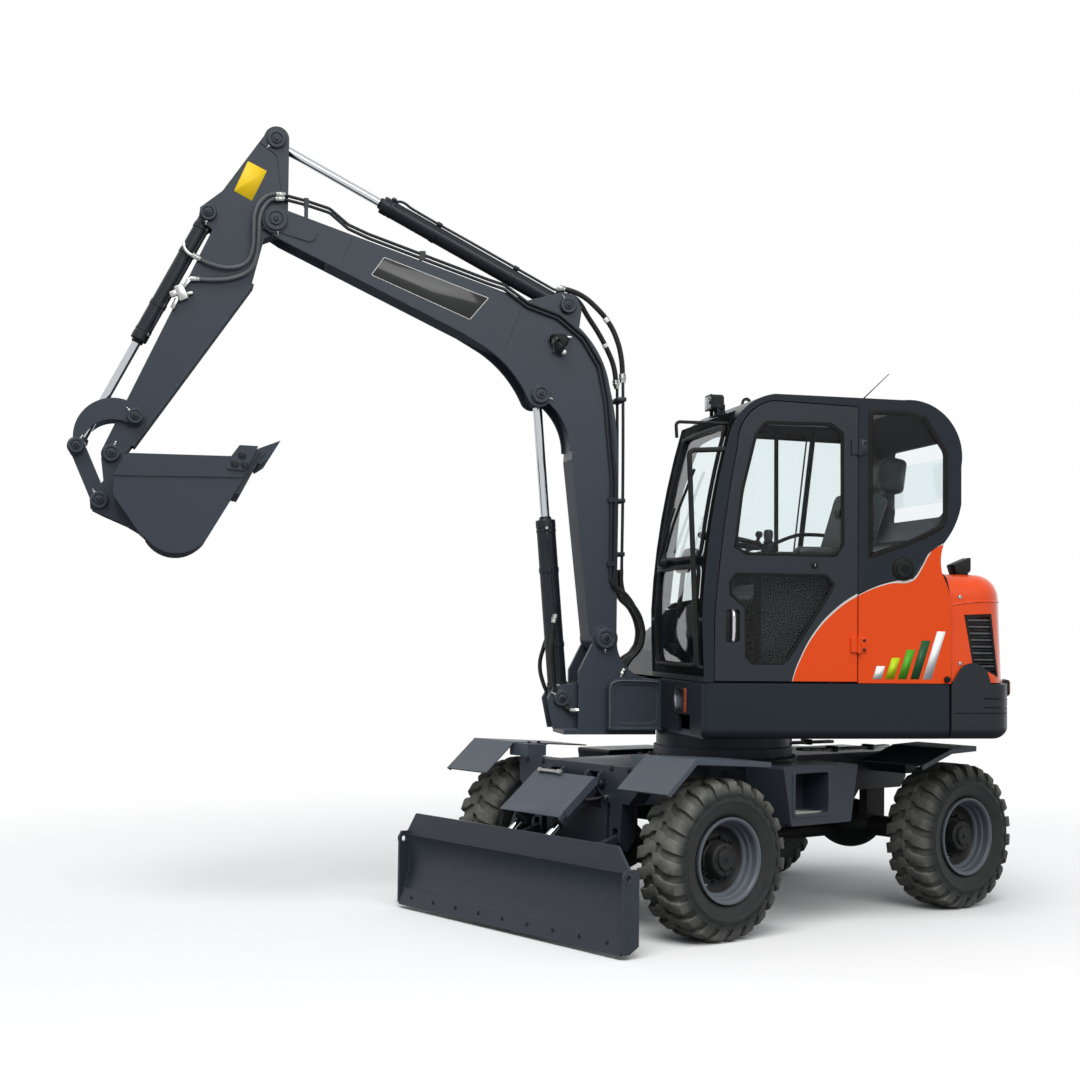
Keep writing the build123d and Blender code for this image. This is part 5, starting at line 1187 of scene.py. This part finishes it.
seatPads = {
    # name: (low corner, high corner, lean back in degrees, nodes that it stands for)
    "seat_pad": ((-0.45, 0.168, 1.694), (0.022, 0.652, 1.836), 0, ("seat_cushion",)),
    "back_pad": ((-0.69, 0.18, 1.84), (-0.53, 0.64, 2.375), -17, ("seat_backrest",)),
    "head_pad": ((-0.9, 0.265, 2.375), (-0.76, 0.555, 2.575), -8, ()),
}


def stuff(name, low, high, lean, standsFor):
    low, high = Vector(low), Vector(high)
    pad = addBlock((low + high) / 2, high - low, 0.03, (0, radians(lean), 0))
    pad.modifiers[0].segments = 4
    makeMesh([pad])
    bpy.ops.object.transform_apply()
    cells = pad.modifiers.new("cells", "REMESH")
    cells.mode, cells.voxel_size = "VOXEL", 0.006
    settle(cells)
    rest = [corner.co.copy() for corner in pad.data.vertices]
    air = pad.modifiers.new("air", "CLOTH")
    air.settings.use_pressure = True
    air.settings.uniform_pressure_force = 4
    air.settings.effector_weights.gravity = 0
    for step in range(1, 15):
        bpy.context.scene.frame_set(step)
    settle(air)
    bpy.context.scene.frame_set(1)
    for corner, start in zip(pad.data.vertices, rest):
        move = corner.co - start
        if move.length > 0.012:
            corner.co = start + move.normalized() * 0.012
    made = finish([pad], name, seatCloth, "upper", standsFor, 60)
    return made


for name, (low, high, lean, standsFor) in seatPads.items():
    stuff(name, low, high, lean, standsFor)
piping = [addHose([(-0.42, y, 1.838), (-0.2, y, 1.842), (0.0, y, 1.838)], 0.0035) for y in (0.25, 0.57)]
finish(piping, "seat_piping", sealRubber, "upper", paintSlot="seat_fabric")
frameBits = [addHose([(-0.69, y, 2.3), (-0.76, y, 2.39), (-0.815, y, 2.44)], 0.01) for y in (0.35, 0.47)]
frameBits += [addBlock((-0.5, 0.41, 1.8), (0.12, 0.36, 0.06), 0.01), addBlock((-0.24, 0.41, 1.675),
    (0.4, 0.42, 0.028), 0.008)]
frameBits += [addBlock((-0.24, 0.41, 1.4 + 0.034 * fold), (0.384 - 0.012 * (fold % 2), 0.404, 0.016), 0.005)
    for fold in range(8)]
finish(frameBits, "seat_suspension", blackPlastic, "upper", paintSlot="seat_frame")
print("seat made")

# hood: seam rubber, swage line, screws, louvre blades, latch, and the lamp on top

hood = {"side": 0.904, "foot": 1.319, "lean": 0.0349, "top": 1.914, "seam": -1.0005}
seam = [(hood["seam"], 0.9085 - hood["lean"] * (z - hood["foot"]), z) for z in (1.322, 1.5, 1.7)]
seam += [(hood["seam"], 0.889, 1.785), (hood["seam"], 0.871, 1.85), (hood["seam"], 0.824, 1.902),
    (hood["seam"], 0.756, 1.917)]
seam += [(x, -y, z) for x, y, z in reversed(seam)]
finish([addHose(seam, 0.0055, 2, 4)], "hood_seam_rubber", sealRubber, "upper")
fold = [(-1.004, 0.8882, 1.742), (-1.1, 0.8884, 1.756), (-1.2, 0.8868, 1.765)]
fold += [(x, y, 1.765) for x, y in ((-1.2714, 0.86), (-1.3147, 0.82), (-1.3396, 0.78), (-1.3832, 0.7),
    (-1.4295, 0.6), (-1.4979, 0.4), (-1.5373, 0.2))]
fold += [(-1.5502, 0.0, 1.765)] + [(x, -y, z) for x, y, z in reversed(fold)]
finish([addHose(fold, 0.0045, 3, 6)], "hood_swage_line", orangePaint, "hood")
screws = [((x, side * (hood["side"] - hood["lean"] * (z - hood["foot"])), z), (0, side, hood["lean"]))
    for x, z in ((-1.065, 1.787), (-1.06, 1.425)) for side in (-1, 1)]
finish(domeScrews(screws, 0.012), "hood_screws", zinc, "hood")

louvre = {"origin": Vector((-1.09, 0.896, 0)), "turn": radians(8), "foot": 1.392, "pitch": 0.036, "blades": 9,
    "left": ((1.415, 0.043), (1.69, 0.0)), "right": ((1.352, 0.212), (1.698, 0.17))}


def louvreEdge(line, z):
    (lowZ, lowX), (topZ, topX) = line
    return lowX + (topX - lowX) * (z - lowZ) / (topZ - lowZ)


blades = []
alongGrille = Vector((-cos(louvre["turn"]), -sin(louvre["turn"]), 0))
outOfGrille = Vector((-sin(louvre["turn"]), cos(louvre["turn"]), 0))
for count in range(louvre["blades"] - 1):
    z = louvre["foot"] + louvre["pitch"] * (count + 0.5)
    start = max(louvreEdge(louvre["left"], z), 0) + 0.01
    end = louvreEdge(louvre["right"], z) - 0.006
    middle = louvre["origin"] + alongGrille * (start + end) / 2 + outOfGrille * -0.008
    for side in (-1, 1):
        blades.append(addBlock((middle.x, side * middle.y, z), (end - start, 0.012, 0.01), 0.003,
            (radians(-20 * side), 0, side * louvre["turn"])))
finish(blades, "louvre_blades", moulded("moulded grey louvre", "#454B51", 0.45, shine=0.4), "hood")

latch = [addBlock((-1.571, 0, 1.42), (0.016, 0.12, 0.07), 0.006), addBlock((-1.58, 0, 1.408),
    (0.014, 0.07, 0.022), 0.004), lathe([(0, 0.006), (0.011, 0.006), (0.014, 0)], (-1.578, 0.04, 1.438),
    (-1, 0, 0), steps=20)]
finish(latch, "hood_latch", blackPlastic, "hood")
lampHood = [drawPlate([(x, 0.65, z) for x, z in ((-1.093, 1.969), (-1.195, 2.012), (-1.195, 1.935),
    (-1.17, 1.915), (-1.112, 1.912))], (0, 0.1, 0), 0.005, 0.008), addBlock((-1.15, 0.7, 1.914),
    (0.07, 0.09, 0.014), 0.004)]
finish(lampHood, "rear_lamp_hood", blackPlastic, "hood")
pane = addBlock((-1.197, 0.7, 1.975), (0.005, 0.084, 0.056), 0.002)
finish([pane], "rear_lamp_lens", lampGlass, "hood")

# counterweight: tail lamps and reflectors on its rounded back
tail = {"x": -1.499, "y": 0.56, "z": 1.285, "turn": radians(19.6)}
housings, lenses, ambers = [], [], []
for side in (-1, 1):
    lie = (0, 0, -side * tail["turn"])
    out = Vector((-cos(tail["turn"]), side * sin(tail["turn"]), 0))
    along = Vector((sin(tail["turn"]), side * cos(tail["turn"]), 0))
    middle = Vector((tail["x"], side * tail["y"], tail["z"]))
    housings.append(addBlock(middle, (0.024, 0.2, 0.09), 0.01, lie))
    lenses.append(addBlock(middle + out * 0.011 - along * 0.028, (0.01, 0.112, 0.068), 0.004, lie))
    ambers.append(addBlock(middle + out * 0.011 + along * 0.06, (0.01, 0.056, 0.068), 0.004, lie))
finish(housings, "tail_lamp_housings", blackPlastic, "upper")
finish(lenses, "tail_lamp_lenses", redLens, "upper")
finish(ambers, "tail_lamp_ambers", amberLens, "upper")

# left panel: a stop knob, and slanted bars of film
knob = [lathe([(0, 0.022), (0.01, 0.022), (0.016, 0.018), (0.018, 0.008), (0.013, 0.004), (0.013, 0)],
    (-0.972, cabSide, 1.338), (0, 1, 0), steps=24)]
finish(knob, "panel_stop_knob", sealRubber, "upper")
stripes = {"first": -0.545, "foot": 1.338, "pitch": 0.072, "width": 0.05, "lean": 0.32,
    "heights": (("white", 0.07), ("lime", 0.115), ("green", 0.16), ("deep", 0.21), ("white", 0.26))}
for count, (tone, height) in enumerate(stripes["heights"]):
    start, foot = stripes["first"] - stripes["pitch"] * count, stripes["foot"]
    end, lean = start - stripes["width"], stripes["lean"] * height
    corners = ((start, foot), (end, foot), (end - lean, foot + height), (start - lean, foot + height))
    plate = drawPlate([(x, cabSide, z) for x, z in corners], (0, 0.0009, 0), 0.0003)
    finish([plate], "film_bar_" + str(count + 1), vinyl[tone], "upper", paintSlot="accent_paint")
print("hood and panels dressed")

# front lamp in the skirt's corner: bowl, clear lens, amber strip, and a rubber frame
x, y, z = 0.389, 0.485, 1.205
frameRing = drawBand(oblong(x, y, z, 0.128, 0.079), 0.01, (0.013, 0, 0), 0.002, 0.014)
backing = addBlock((x + 0.001, y, z), (0.002, 0.25, 0.152), 0.0005)
finish([frameRing, backing], "front_lamp_frame", blackPlastic, "upper")
bowls = [lathe([(0.054, 0.008), (0.044, 0.003), (0.02, 0.001), (0, 0.001)], (x + 0.002, y - dy, z),
    (1, 0, 0)) for dy in (0.058, -0.03)]
finish(bowls, "front_lamp_bowls", chrome, "upper")
glass = [addBlock((x + 0.011, y - 0.028, z), (0.003, 0.184, 0.134), 0.001)]
glass += [addBlock((x + 0.0125, y - 0.118 + 0.03 * rib, z), (0.001, 0.003, 0.126), 0.0003)
    for rib in range(7)]
finish(glass, "front_lamp_lens", lampGlass, "upper")
strip = addBlock((x + 0.008, y + 0.091, z), (0.012, 0.05, 0.134), 0.003)
finish([strip], "front_lamp_amber", amberLens, "upper")

# bead round the box ahead of the cab, in a lighter grey than the box: a painted highlight along its top edge
bead = [addHose([(0.701, 0.1035, 1.026), (0.701, 0.1035, 1.15), (0.701, 0.1035, 1.24), (0.69, 0.1035, 1.276),
    (0.655, 0.1035, 1.292), (0.6, 0.1035, 1.294), (0.42, 0.1035, 1.289)], 0.0045)]
finish(bead, "box_bead", rimPaint, "upper")
print("lamps and front box made")

# undercarriage: hub caps with their dark dishes, which stand partly for dirt and partly for painted shade on
# the rims, bolts, and pin caps

cap = {"hub": ((0, 0.1135), (0.049, 0.1135), (0.0535, 0.11), (0.0535, 0.0997), (0.078, 0.0995),
    (0.0855, 0.093), (0.0895, 0.041), (0.0975, 0.0335), (0.112, 0.0305)),
    "dish": ((0.096, 0.033), (0.128, 0.0275), (0.146, 0.03), (0.16, 0.0372), (0.1705, 0.048)), "plug": 0.1133,
    "flange": 0.0993, "circle": 0.067, "bolts": 8}
for corner in wheels:
    outward, centre = outOf(corner), pin[corner + "_spin"]
    # the dark dish is a black sheet laid over the rim round the nut circle: partly dirt, partly painted shade
    shells = [lathe(cap["hub"], centre, outward, steps=40), lathe(cap["dish"], centre, outward, steps=48)]
    finish(shells, corner + "_hub_cap", axlePaint, corner + "_wheel")
    plug = hexBolts([(centre + outward * cap["plug"], outward)], 0.017)
    flange = [(centre + outward * cap["flange"] + Matrix.Rotation(2 * pi * count / cap["bolts"], 3,
        outward) @ upward * cap["circle"], outward) for count in range(cap["bolts"])]
    finish(plug + hexBolts(flange, 0.009, False), corner + "_hub_bolts", darkZinc, corner + "_wheel")

forward = onChassis(1, 0, 0)
spots = [(onChassis(1.1005, y, 0.852), forward) for y in (-0.43, -0.29, 0.29, 0.43)]
spots += [(onChassis(x, side * 0.47, 0.9375), (0, 0, 1)) for x in (0.99, 1.06) for side in (-1, 1)]
finish(hexBolts(spots, 0.018), "cross_box_bolts", darkZinc, "undercarriage")
bosses = []
for y in (-0.16, 0.16):
    for side in (-1, 1):
        bosses.append(lathe([(0, 0.02), (0.013, 0.02), (0.016, 0.014), (0.025, 0.014), (0.029, 0.01),
            (0.03, -0.002)], onChassis(1.101, y + side * 0.06, 0.765), acrossChassis * side))
finish(bosses, "blade_cylinder_pin_caps", darkZinc, "undercarriage")

# the cover's hinge rod and its lower apron
coverHinge = [addRod(onChassis(1.18, -0.215, 0.812), onChassis(1.18, -0.025, 0.812), 0.01),
    addRod(onChassis(1.18, -0.06, 0.812), onChassis(1.18, -0.028, 0.812), 0.015),
    addRod(onChassis(1.18, -0.225, 0.812), onChassis(1.18, -0.2, 0.812), 0.014)]
finish(coverHinge, "cover_hinge_rod", zinc, "blade_cylinder_barrel")
slope = Vector((0.187, 0.094, -0.17)).normalized()
near, far = (Vector(corner) + slope * -0.012 for corner in ((1.127, 0.8155, 0.6345), (1.35, 0.3735, 0.6345)))
apron = drawPlate([near, far, far + slope * 0.06, near + slope * 0.06],
    Vector((0.56, 0.28, 0.78)).normalized() * 0.005, 0.001)
folds = [addBlock(corner + slope * 0.034 - Vector((0.56, 0.28, 0.78)).normalized() * 0.016,
    (0.052, 0.005, 0.034), 0.001, (0, radians(39), heading)) for corner in (near, far)]
finish([apron] + folds, "cover_apron", gritPaint, "blade_cylinder_barrel")

# blade: rings round its tie-down eyes, and plough bolts in the cutting edge
rings = [lathe([(0.0165, 0.001), (0.024, 0.0014), (0.031, 0.001), (0.034, 0)],
    onChassis(1.57, side * 0.97, 0.388), acrossChassis * side, steps=32) for side in (-1, 1)]
finish(rings, "blade_eye_rings", chassisPaint, "blade")
edgeFace = onChassis(0.966, 0, 0) + Vector((0, 0, 0.258))
plough = [(onChassis(1.5915, -0.84 + 0.21 * count, 0.07), edgeFace) for count in range(9)]
finish(domeScrews(plough, 0.012), "cutting_edge_bolts", darkZinc, "blade")

# pipes and hoses on the deck, and the short hoses to the blade cylinders
deckRun = ((-0.38, 1, 0.9), (-0.62, 1, 0.892), (-0.9, 1, 0.892), (-1.18, 0.9, 0.892))
pipes = [addHose([onChassis(x, y * share, z) for x, share, z in deckRun], 0.0105)
    for y in (0.235, 0.265, -0.235, -0.265)]
finish(pipes, "deck_pipes", zinc, "undercarriage")
clamps = [addBlock(onChassis(x, side * 0.25, 0.894), (0.03, 0.078, 0.034), 0.004, (0, 0, heading))
    for x in (-0.66, -0.98) for side in (-1, 1)]
finish(clamps, "deck_pipe_clamps", blackPlastic, "undercarriage")
for number, y in enumerate((-0.16, 0.16)):
    run = [onChassis(1.098, y + 0.095, 0.7), onChassis(1.13, y + 0.1, 0.7), onChassis(1.19, y + 0.075, 0.69),
        onChassis(1.225, y + 0.05, 0.69), onChassis(1.245, y + 0.04, 0.695)]
    layHose("blade_hose_" + str(number + 1), run, 0.009, ("undercarriage", "blade_cylinder_barrel"),
        (run[1], run[3]), (True, False))

# slewing ring: bolts round its foot
ring = [(onChassis(0.415 * cos(radians(angle)), 0.415 * sin(radians(angle)), 0.866), (0, 0, 1))
    for angle in range(0, 360, 12)]
finish(hexBolts(ring, 0.015), "slewing_ring_bolts", darkZinc, "undercarriage")

# step boxes: a serrated tread in the foot hole
treads = []
for side in (-1, 1):
    for count in range(5):
        treads.append(addBlock(onChassis(0.168, side * (0.7 + 0.034 * count), 0.617), (0.22, 0.007, 0.012),
            0.002, (0, 0, heading)))
finish(treads, "step_treads", zinc, "undercarriage")
print("undercarriage dressed")
